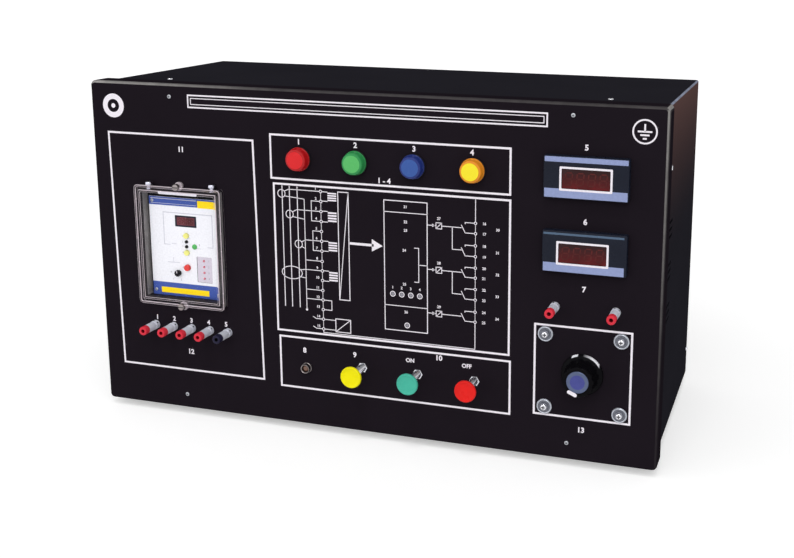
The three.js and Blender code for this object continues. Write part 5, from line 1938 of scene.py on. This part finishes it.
@dataclass
class RelayCover:
    """Clear cover: a shallow box with a groove between two ridges, and a lug for each thumbscrew."""

    node: str = "relay_cover"
    wall: float = 3.0 * MM
    ridge: float = 3.0 * MM
    groove: float = 3.0 * MM
    groove_depth: float = 1.4 * MM
    lip: float = 2.4 * MM
    corner: float = 5.0 * MM
    lug: float = 5.6 * MM
    lug_reach: float = 4.6 * MM
    glint: tuple[float, float, float, float] = (-26.0 * MM, 28.0 * MM, 66.6 * MM, 70.4 * MM)

    def build(self) -> None:
        """Builds the cover over its CAD node."""
        low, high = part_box(self.node)
        self.width = high.x - low.x
        self.reach, self.back = PANEL_FACE - low.y, PANEL_FACE - high.y
        lower = centre_of("relay_thumbscrew_lower")
        x, upper = centre_of("relay_thumbscrew_upper")
        z = (upper + lower[1]) / 2
        self.height = upper - lower[1]
        # The ridges and the wall wear a pale finish that is a painted highlight of the cover's edges.
        rim = ClearEdge("clear_cover_edge", linear(236, 222, 230))
        glint = Ink("cover_glint", linear(236, 236, 244), roughness=0.3)
        piece = Piece(self.node + "_shell", CLEAR, rim, glint).at(seat_on_panel(x, z))
        self._add_shell(piece)
        for way in (1, -1):
            self._add_lug(piece, x, z, way)
        piece.at(seat_on_panel(x, z))
        # The glint bar is a painted reflection: a flat pale band laid in the groove.
        x0, x1, z0, z1 = self.glint
        bar = rounded(x1 - x0, z1 - z0, 1.4 * MM)
        piece.flat(shifted(bar, (x0 + x1) / 2, (z0 + z1) / 2), self.reach - self.groove_depth, 2)
        piece.make("relay_lid", [self.node], "clear_cover")

    def _outline(self, inset: float) -> list[Point]:
        """Returns the cover's outline drawn in by a distance."""
        radius = max(self.corner - inset, 1.2 * MM)
        return rounded(self.width - 2 * inset, self.height - 2 * inset, radius, 8)

    def _add_shell(self, piece: Piece) -> None:
        """Adds the wall, the outer ridge, the groove, the inner ridge and the clear front."""
        reach, soft = self.reach, 0.5 * MM
        floor = reach - self.groove_depth
        inner = self.ridge + self.groove
        piece.loft(
            [
                (self._outline(0.3 * MM), self.back),
                (self._outline(0), self.back + 0.9 * MM),
                (self._outline(0), reach - 0.8 * MM),
                (self._outline(soft), reach - 0.2 * MM),
                (self._outline(1.0 * MM), reach - 0.05 * MM),
                (self._outline(self.ridge - 0.9 * MM), reach - 0.05 * MM),
                (self._outline(self.ridge), floor + 0.2 * MM),
                (self._outline(self.ridge + soft), floor),
                (self._outline(inner - soft), floor),
                (self._outline(inner), floor + 0.2 * MM),
                (self._outline(inner + 0.3 * MM), reach - 0.3 * MM),
                (self._outline(inner + 0.9 * MM), reach),
                (self._outline(inner + self.lip), reach),
                (self._outline(inner + self.lip + soft), reach - 0.4 * MM),
            ],
            [1, 0, 1, 1, 0, 1, 0, 0, 0, 1, 1, 0, 1, 0],
            (False, False),
        )
        piece.flat(self._outline(inner + self.lip + soft), reach - 0.4 * MM, 0)

    def _add_lug(self, piece: Piece, x: float, z: float, way: int) -> None:
        """Adds the round lug that takes a thumbscrew.

        Args:
            piece: the cover.
            x: the cover's middle.
            z: the cover's middle.
            way: 1 for the upper lug, -1 for the lower one.
        """
        low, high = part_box(self.node)
        r = min(self.lug, (high.z - z if way > 0 else z - low.z) - self.height / 2 - 0.1 * MM)
        piece.at(seat_on_panel(x, z + way * self.height / 2))
        profile = [
            (r - 0.2 * MM, self.back),
            (r, self.back + 0.3 * MM),
            (r, self.lug_reach - 0.8 * MM),
            (r - 0.6 * MM, self.lug_reach),
            (2.4 * MM, self.lug_reach),
        ]
        piece.turn(profile, 1, 36)


@dataclass(frozen=True)
class ClearEdge(Finish):
    """Edge of the clear cover, painted pale as a highlight for the light that its edges catch."""

    def work(self, shader: Shader) -> None:
        """Adds the pale painted highlight and its streaks."""
        shader.link(self.varied(shader, 140, 0.08), "Base Color")
        shader.set(Transmission_Weight=0.35, IOR=1.3, Coat_Weight=0.5, Coat_Roughness=0.05)
        shader.link(shader.ranged(shader.noise(220, 4), 0.12, 0.3), "Roughness")
        shader.bump(shader.noise(500, 2), 0.1, 0.02 * MM)


@dataclass
class Thumbscrew:
    """Knurled thumbscrew with a slot, which holds the relay's cover."""

    name: str
    teeth: int = 28
    depth: float = 0.35 * MM
    slot_width: float = 1.0 * MM
    slot_depth: float = 1.2 * MM

    def build(self) -> None:
        """Builds the screw over its CAD node."""
        node = "relay_thumbscrew_" + self.name
        low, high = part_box(node)
        x, z = centre_of(node)
        r, front, back = (high.z - low.z) / 2, PANEL_FACE - low.y, PANEL_FACE - high.y
        foot = front - 5.4 * MM
        piece = Piece(node + "_head", THUMB_METAL, BLACK_PLASTIC).at(seat_on_panel(x, z))
        full = toothed(r, self.teeth, self.depth, (0, 0.6, 1, 0.6))
        eased = toothed(r - 0.5 * MM, self.teeth, 0.1 * MM, (0, 0.6, 1, 0.6))
        top = toothed(r - 0.9 * MM, self.teeth, 0.0, (0, 0, 0, 0))
        piece.loft(
            [
                (eased, foot),
                (full, foot + 0.5 * MM),
                (full, front - 0.7 * MM),
                (eased, front - 0.2 * MM),
                (top, front - 0.04 * MM),
            ],
            0,
        )
        piece.turn([(1.8 * MM, foot), (1.8 * MM, back + 0.5 * MM), (1.3 * MM, back), (0, back)], 0, 24)
        # The slot is painted shade: a flat dark bar on the front, not a cut.
        piece.flat(rounded(1.7 * r, self.slot_width, 0.1 * MM, 2), front, 1)
        piece.make("thumbscrew_" + self.name, [node], "nickel")


@dataclass
class ClampScrew:
    """Small upright screw above the cover, with a grooved head on a neck in a lug."""

    name: str
    x: float
    z: float
    out: float = 5.4 * MM
    head: float = 4.4 * MM
    neck: float = 2.8 * MM
    height: float = 9.4 * MM

    def build(self) -> None:
        """Builds the screw."""
        piece = Piece(self.name, NICKEL, BLACK_PLASTIC)
        piece.at(seat_facing((self.x, PANEL_FACE - self.out, self.z), "+Z"))
        h, r, n = self.height, self.head, self.neck
        piece.turn(
            [
                (0, 0),
                (n + 0.8 * MM, 0),
                (n + 0.8 * MM, 1.0 * MM),
                (n, 1.3 * MM),
                (n, 0.5 * h),
                (r - 0.5 * MM, 0.54 * h),
                (r, 0.6 * h),
                (r, 0.86 * h),
                (r - 0.7 * MM, 0.97 * h),
                (0, h),
            ],
            0,
            36,
        )
        # The slot is painted shade: a flat dark bar on the head's top, not a cut.
        piece.flat(rounded(1.6 * r, 1.0 * MM, 0.1 * MM, 2), h + 0.03 * MM, 1)
        piece.at(Matrix.Identity(4))
        piece.at(seat_facing((self.x, PANEL_FACE, self.z + 0.4 * MM), "+Z"))
        piece.slab(3.2 * MM, self.out, 0.0, 2.2 * MM, 0.4 * MM, 0, (0, -self.out / 2), 0.2 * MM)
        piece.make(CABINET)


@dataclass
class RelayAssembly:
    """The relay under test: flush case, module with its controls, cover, thumbscrews and clamps."""

    clamps: tuple[tuple[str, float, float], ...] = (
        ("clamp_screw_left", -280.3 * MM, 77.6 * MM),
        ("clamp_screw_right", -192.7 * MM, 79.4 * MM),
    )

    def build(self) -> None:
        """Builds the assembly from the case forwards."""
        dress("relay_case", CASE_GREY, 0.4 * MM)
        RelayFace().build()
        RelayKeys().build()
        RelayCover().build()
        for name in ("upper", "lower"):
            Thumbscrew(name).build()
        for name, x, z in self.clamps:
            ClampScrew(name, x, PANEL_MIDDLE + z).build()


@dataclass
class BindingPost:
    """Binding post: a drilled collar on its stud, and a screw cap with a coloured end."""

    name: str
    tip: Finish
    inside: Finish
    tip_length: float = 8.0 * MM
    socket: float = 2.3 * MM
    cross_hole: float = 1.1 * MM

    def build(self) -> None:
        """Builds the fixed base and the moving cap."""
        x, z = centre_of("post_cap_" + self.name)
        self._build_base("post_base_" + self.name, x, z)
        self._build_cap("post_cap_" + self.name, x, z)

    def _build_base(self, node: str, x: float, z: float) -> None:
        """Builds the collar, the stud, and the nut behind the panel; the cross-holes are painted shade, flat
        dark discs on the collar.
        """
        low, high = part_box(node)
        r, stud, back = (high.z - low.z) / 2, PANEL_FACE - low.y, high.y - PANEL_FACE
        piece = Piece(node + "_metal", POST_METAL, BLACK_PLASTIC, BRASS).at(seat_on_panel(x, z))
        length = 7.0 * MM
        piece.turn(
            [
                (r - 0.3 * MM, 0.05 * MM),
                (r, 0.4 * MM),
                (r, length - 0.5 * MM),
                (r - 0.4 * MM, length),
                (2.3 * MM, length),
                (2.3 * MM, stud),
                (0, stud),
            ],
            0,
            40,
        )
        piece.loft([(hexagon(11 * MM), -6.4 * MM), (hexagon(11 * MM), -2.4 * MM)], 2)
        piece.turn([(0, -back), (2.2 * MM, -back), (2.2 * MM, -2.4 * MM)], 2, 24)
        # The cross-holes are not cut: flat dark discs on the collar are painted shade.
        for angle in (math.radians(100), math.radians(40)):
            turned = Matrix.Rotation(angle, 4, "Z") @ Matrix.Translation((r + 0.02 * MM, 0, 3.6 * MM))
            piece.at(seat_on_panel(x, z) @ turned @ Matrix.Rotation(math.pi / 2, 4, "Y"))
            piece.flat(circle(self.cross_hole, 20), 0.0, 1)
        piece.make(CABINET, [node], "nickel")

    def _build_cap(self, node: str, x: float, z: float) -> None:
        """Builds the cap: a metal barrel and the coloured end with its socket."""
        low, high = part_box(node)
        r, front, back = (high.z - low.z) / 2, PANEL_FACE - low.y, PANEL_FACE - high.y
        piece = Piece(node + "_barrel", POST_METAL, self.tip, self.inside).at(seat_on_panel(x, z))
        joint = front - self.tip_length
        body = r - 0.15 * MM
        profile = [(2.5 * MM, back), (body - 0.4 * MM, back), (body, back + 0.5 * MM), (body, joint)]
        metal = len(profile) - 1
        profile += [
            (r, joint + 0.15 * MM),
            (r, front - 0.9 * MM),
            (r - 0.3 * MM, front - 0.3 * MM),
            (r - 0.9 * MM, front),
            (self.socket + 0.5 * MM, front),
            (self.socket, front - 0.4 * MM),
            (self.socket, front - 9 * MM),
            (0, front - 9 * MM),
        ]
        plastic = len(profile) - 1 - metal
        # The socket's wall and floor wear the darker inside finish: painted shade in the hole.
        piece.turn(profile, [0] * metal + [1] * (plastic - 2) + [2, 2], 44)
        piece.make("cap_" + self.name, [node], "nickel")


@dataclass
class ControlKnob:
    """Control knob: skirt, fluted body, set-in metal disc and index mark."""

    node: str = "control_knob"
    flutes: int = 12
    flute_depth: float = 1.1 * MM
    flute_shape: tuple[float, ...] = (0, 0, 0, 0.25, 0.75, 1, 0.75, 0.25)
    mark_angle: float = math.radians(-90 - 23)
    mark_radius: float = 15.4 * MM
    mark_half_length: float = 6.0 * MM
    mark_width: float = 4.4 * MM

    def build(self) -> None:
        """Builds the knob and its disc."""
        x, z = centre_of(self.node)
        self._build_knob(x, z)
        self._build_disc(x, z)

    def _build_knob(self, x: float, z: float) -> None:
        """Builds the skirt and the fluted body with the index mark on its rim."""
        low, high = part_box(self.node)
        skirt, reach, foot = (high.x - low.x) / 2, PANEL_FACE - low.y, PANEL_FACE - high.y
        low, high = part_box("knob_inlay")
        well = (high.x - low.x) / 2 + 0.2 * MM
        floor = PANEL_FACE - high.y - 0.2 * MM
        black = KnobPlastic(
            "knob_plastic", linear(13, 12, 15), roughness=0.2, texture=300, gloss=0.03, axis=(x, z)
        )
        piece = Piece(self.node + "_body", black, WHITE_INK).at(seat_on_panel(x, z))
        fluted, smooth = self._fluted, self.flutes * len(self.flute_shape)
        top = 18.2 * MM
        piece.loft(
            [
                (circle(skirt - 0.3 * MM, smooth), foot),
                (circle(skirt, smooth), foot + 0.4 * MM),
                (circle(skirt, smooth), foot + 1.6 * MM),
                (circle(skirt - 0.8 * MM, smooth), foot + 3.0 * MM),
                (circle(skirt - 2.6 * MM, smooth), foot + 4.0 * MM),
                (fluted(20.2 * MM, 0.3), foot + 4.7 * MM),
                (fluted(19.6 * MM, 1.0), foot + 6.4 * MM),
                (fluted(top + 0.2 * MM, 1.0), reach - 3.2 * MM),
                (fluted(top - 0.1 * MM, 0.8), reach - 1.8 * MM),
                (fluted(top - 0.8 * MM, 0.4), reach - 0.6 * MM),
                (circle(top - 2.0 * MM, smooth), reach - 0.05 * MM),
                (circle(well + 0.3 * MM, smooth), reach - 0.05 * MM),
                (circle(well, smooth), reach - 0.4 * MM),
                (circle(well, smooth), floor),
            ],
            0,
        )
        self._add_mark(piece, reach)
        piece.make("knob", [self.node], "black_plastic", crease=40)

    def _fluted(self, radius: float, share: float) -> list[Point]:
        """Returns the body's outline at a radius with a share of the flutes' depth."""
        return toothed(radius, self.flutes, self.flute_depth * share, self.flute_shape)

    def _add_mark(self, piece: Piece, reach: float) -> None:
        """Adds the white index mark, a short round bar set on the front's edge."""
        bar = rounded(2 * self.mark_half_length, self.mark_width, self.mark_width / 2, 8)
        turned = Matrix.Rotation(self.mark_angle + math.pi / 2, 4, "Z")
        seat = piece.seat
        piece.at(seat @ turned)
        bent = []
        for u, v in bar:
            radius, angle = self.mark_radius - v, u / self.mark_radius - math.pi / 2
            bent.append((radius * math.cos(angle), radius * math.sin(angle)))
        piece.loft([(bent, reach - 1.4 * MM), (bent, reach - 0.02 * MM)], 1)
        piece.at(seat)

    def _build_disc(self, x: float, z: float) -> None:
        """Builds the spun metal disc in the knob's front."""
        low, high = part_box("knob_inlay")
        r, front, back = (high.x - low.x) / 2, PANEL_FACE - low.y, PANEL_FACE - high.y
        spun = Metal("blue_anodised_disc", linear(76, 80, 142), roughness=0.34, grain=Grain.SPUN, axis=(x, z))
        band = Metal("blue_grey_band", linear(92, 102, 130), roughness=0.34, grain=Grain.SPUN, axis=(x, z))
        piece = Piece("knob_inlay_disc", spun, band).at(seat_on_panel(x, z))
        piece.turn(
            [
                (0, front - 0.25 * MM),
                (0.62 * r, front - 0.2 * MM),
                (0.66 * r, front - 0.1 * MM),
                (r - 0.4 * MM, front - 0.05 * MM),
                (r, front - 0.4 * MM),
                (r, back),
                (0, back),
            ],
            [0, 0, 1, 1, 1, 1],
            72,
        )
        piece.make("knob", ["knob_inlay"], "blue_metal")


@dataclass
class VariableTransformer:
    """The variable transformer behind the knob, and its four chrome screws with cup washers."""

    spacing: float = 88 * MM
    head: PanHead = PanHead(
        radius=4.2 * MM, height=5.4 * MM, washer_radius=9.1 * MM, washer_height=2.4 * MM
    )

    def build(self) -> None:
        """Dresses the transformer and builds the screws' heads."""
        dress("variac_rotor", STEEL, 0.3 * MM)
        dress("variac_frame", FRAME_METAL, 0.3 * MM)
        dress("variac_winding", COPPER_WIRE)
        x, z = centre_of("variac_frame")
        piece = Piece("variac_screws", CHROME, BLACK_PLASTIC, WASHER_METAL, WASHER_SHADE)
        for sx in (-1, 1):
            for sz in (-1, 1):
                place = (x + sx * self.spacing / 2, PANEL_FACE, z + sz * self.spacing / 2)
                self.head.add(piece, seat_facing(place, "-Y"))
        piece.make(CABINET)


@dataclass
class Interior:
    """What the cabinet holds out of view: the injection transformer, the board and the inlet."""

    def build(self) -> None:
        """Dresses the pieces."""
        dress("injector_transformer", LAMINATION, 0.3 * MM)
        dress("control_board", BOARD_GREEN, 0.2 * MM)
        dress("mains_inlet", BLACK_PLASTIC, 0.4 * MM)


# The studio


@dataclass(frozen=True)
class Sun:
    """A broad soft lamp that lights everything from one way."""

    name: str
    way: tuple[float, float, float]
    strength: float
    spread: float = 50.0

    def hang(self) -> None:
        """Hangs the lamp."""
        lamp = bpy.data.lights.new(self.name, "SUN")
        lamp.energy = self.strength
        lamp.angle = math.radians(self.spread)
        holder = bpy.data.objects.new(self.name, lamp)
        holder.rotation_euler = (-Vector(self.way)).to_track_quat("-Z", "Y").to_euler()
        bpy.context.scene.collection.objects.link(holder)


@dataclass
class Studio:
    """Pale ground, soft light and the camera at the photograph's place."""

    camera_place: tuple[float, float, float] = (0.5131, -1.1646, 0.3644)
    yaw: float = -16.09
    pitch: float = 11.48
    roll: float = 0.59
    focal: float = 1100.4
    shift: Point = (-0.1361, -0.125)
    world_level: float = 0.66
    ground_lift: float = 0.42
    suns: tuple[Sun, ...] = (
        Sun("key_sun", (0.35, -1.0, 1.1), 1.1),
        Sun("left_sun", (-1.0, -1.2, 0.7), 0.6, 70.0),
        Sun("glint_sun", (0.1, -0.5, 1.2), 0.25, 5.0),
    )

    def build(self) -> None:
        """Builds the ground, the world, the lamps and the camera."""
        self._lay_ground()
        self._set_world()
        for sun in self.suns:
            sun.hang()
        self._place_camera()

    def _lay_ground(self) -> None:
        """Lays the white ground, which a camera, a gloss or a clear piece sees a little lifted."""
        mesh = bpy.data.meshes.new("ground")
        half = 30.0
        mesh.from_pydata(
            [(-half, -half, 0), (half, -half, 0), (half, half, 0), (-half, half, 0)], [], [(0, 1, 2, 3)]
        )
        ground = bpy.data.objects.new("ground", mesh)
        bpy.context.scene.collection.objects.link(ground)
        paint = FloorPaint("ground_paint", (0.9, 0.9, 0.9)).material()
        tree = paint.node_tree
        surface = tree.nodes["Principled BSDF"]
        surface.inputs["Emission Color"].default_value = (1, 1, 1, 1)
        seen = self._seen_share(tree)
        tree.links.new(self._between(tree, seen, 0.0, self.ground_lift), surface.inputs["Emission Strength"])
        mesh.materials.append(paint)

    def _set_world(self) -> None:
        """Sets a white surround that the camera, gloss and glass see, and a softer one for the rest."""
        world = bpy.data.worlds.new("surround")
        bpy.context.scene.world = world
        world.use_nodes = True
        tree = world.node_tree
        background = tree.nodes["Background"]
        background.inputs["Color"].default_value = (1, 1, 1, 1)
        height = tree.nodes.new("ShaderNodeSeparateXYZ")
        tree.links.new(tree.nodes.new("ShaderNodeTexCoord").outputs["Generated"], height.inputs[0])
        falling = tree.nodes.new("ShaderNodeMapRange")
        for name, value in (("From Min", 0.25), ("From Max", 0.8), ("To Min", 1.0), ("To Max", 0.3)):
            falling.inputs[name].default_value = value
        tree.links.new(height.outputs["Z"], falling.inputs["Value"])
        level = self._between(tree, self._seen_share(tree), self.world_level, 1.0)
        scaled = tree.nodes.new("ShaderNodeMath")
        scaled.operation = "MULTIPLY"
        tree.links.new(level, scaled.inputs[0])
        tree.links.new(falling.outputs["Result"], scaled.inputs[1])
        tree.links.new(scaled.outputs[0], background.inputs["Strength"])

    def _seen_share(self, tree: bpy.types.NodeTree) -> bpy.types.NodeSocket:
        """Returns 1 for the rays of the camera, of gloss and of clear pieces, and 0 for the others."""
        rays = tree.nodes.new("ShaderNodeLightPath")
        seen = rays.outputs["Is Camera Ray"]
        for name in ("Is Glossy Ray", "Is Transmission Ray"):
            larger = tree.nodes.new("ShaderNodeMath")
            larger.operation = "MAXIMUM"
            tree.links.new(seen, larger.inputs[0])
            tree.links.new(rays.outputs[name], larger.inputs[1])
            seen = larger.outputs[0]
        return seen

    def _between(
        self, tree: bpy.types.NodeTree, share: bpy.types.NodeSocket, low: float, high: float
    ) -> bpy.types.NodeSocket:
        """Returns a level that goes from low to high with a share of 0 to 1."""
        level = tree.nodes.new("ShaderNodeMapRange")
        level.inputs["To Min"].default_value = low
        level.inputs["To Max"].default_value = high
        tree.links.new(share, level.inputs["Value"])
        return level.outputs["Result"]

    def _place_camera(self) -> None:
        """Places the camera as the photograph's perspective gives it.

        The photograph is a crop, so the middle of its view lies off the middle of the picture, which
        the shift follows.
        """
        yaw, pitch, roll = (math.radians(v) for v in (self.yaw, self.pitch, self.roll))
        base = Matrix(((1, 0, 0), (0, 0, -1), (0, 1, 0)))
        turn = Matrix.Rotation(roll, 3, "Z") @ Matrix.Rotation(pitch, 3, "X") @ base
        turn = turn @ Matrix.Rotation(yaw, 3, "Z")
        right, down, ahead = turn[0], turn[1], turn[2]
        columns = Matrix((right, -down, -ahead)).transposed()
        x, y, z = self.camera_place
        holder = bpy.data.objects.new("camera", bpy.data.cameras.new("camera"))
        holder.data.sensor_width = SENSOR_WIDTH
        holder.data.lens = self.focal / IMAGE_WIDTH * SENSOR_WIDTH
        holder.data.shift_x, holder.data.shift_y = self.shift
        holder.data.clip_end = 200
        place = Matrix.Translation((x, PANEL_FACE + y, PANEL_MIDDLE + z))
        holder.matrix_world = place @ columns.to_4x4()
        bpy.context.scene.collection.objects.link(holder)
        bpy.context.scene.camera = holder


LAMP_COLOURS = (
    LampColour("red", linear(216, 24, 30), linear(188, 16, 22)),
    LampColour("green", linear(84, 182, 98), linear(46, 150, 80)),
    LampColour("blue", linear(49, 84, 156), linear(34, 52, 126)),
    LampColour("yellow", linear(246, 226, 36), linear(238, 146, 34)),
)
BUTTONS = (
    ("yellow", Moulded("button_yellow", linear(248, 236, 10), roughness=0.3), "yellow_plastic"),
    ("green", Moulded("button_green", linear(74, 184, 160), roughness=0.3), "green_plastic"),
    ("red", Moulded("button_red", linear(232, 36, 32), roughness=0.3), "red_plastic"),
)
METERS = (
    DigitalMeter("ammeter", (Stripe(-23.0 * MM, -12.9 * MM), Stripe(17.0 * MM, 22.8 * MM))),
    DigitalMeter(
        "timer",
        (Stripe(-23.0 * MM, -12.9 * MM, cut=1.6 * MM), Stripe(19.2 * MM, 21.6 * MM, dim=True, cut=2 * MM)),
        aside=-2.0 * MM,
    ),
)
POSTS = (
    *((f"input_{index}", TIP_RED, SOCKET_RED) for index in range(1, 5)),
    ("input_5", TIP_DARK, BLACK_PLASTIC),
    ("output_1", TIP_RED, SOCKET_RED),
    ("output_2", TIP_RED, SOCKET_RED),
)


def main() -> None:
    logging.basicConfig(level=logging.INFO, format="%(name)s: %(message)s")
    bpy.context.scene.view_settings.view_transform = "Standard"
    Cabinet().build()
    FramePrint().build()
    Captions().build()
    Schematic().build()
    for colour in LAMP_COLOURS:
        IndicationLamp(colour).build()
    for name, finish, slot in BUTTONS:
        PushButton(name, finish, slot).build()
    PowerLight().build()
    for meter in METERS:
        meter.build()
    RelayAssembly().build()
    for name, tip, inside in POSTS:
        BindingPost(name, tip, inside).build()
    ControlKnob().build()
    VariableTransformer().build()
    Interior().build()
    Studio().build()


if __name__ == "__main__":
    main()
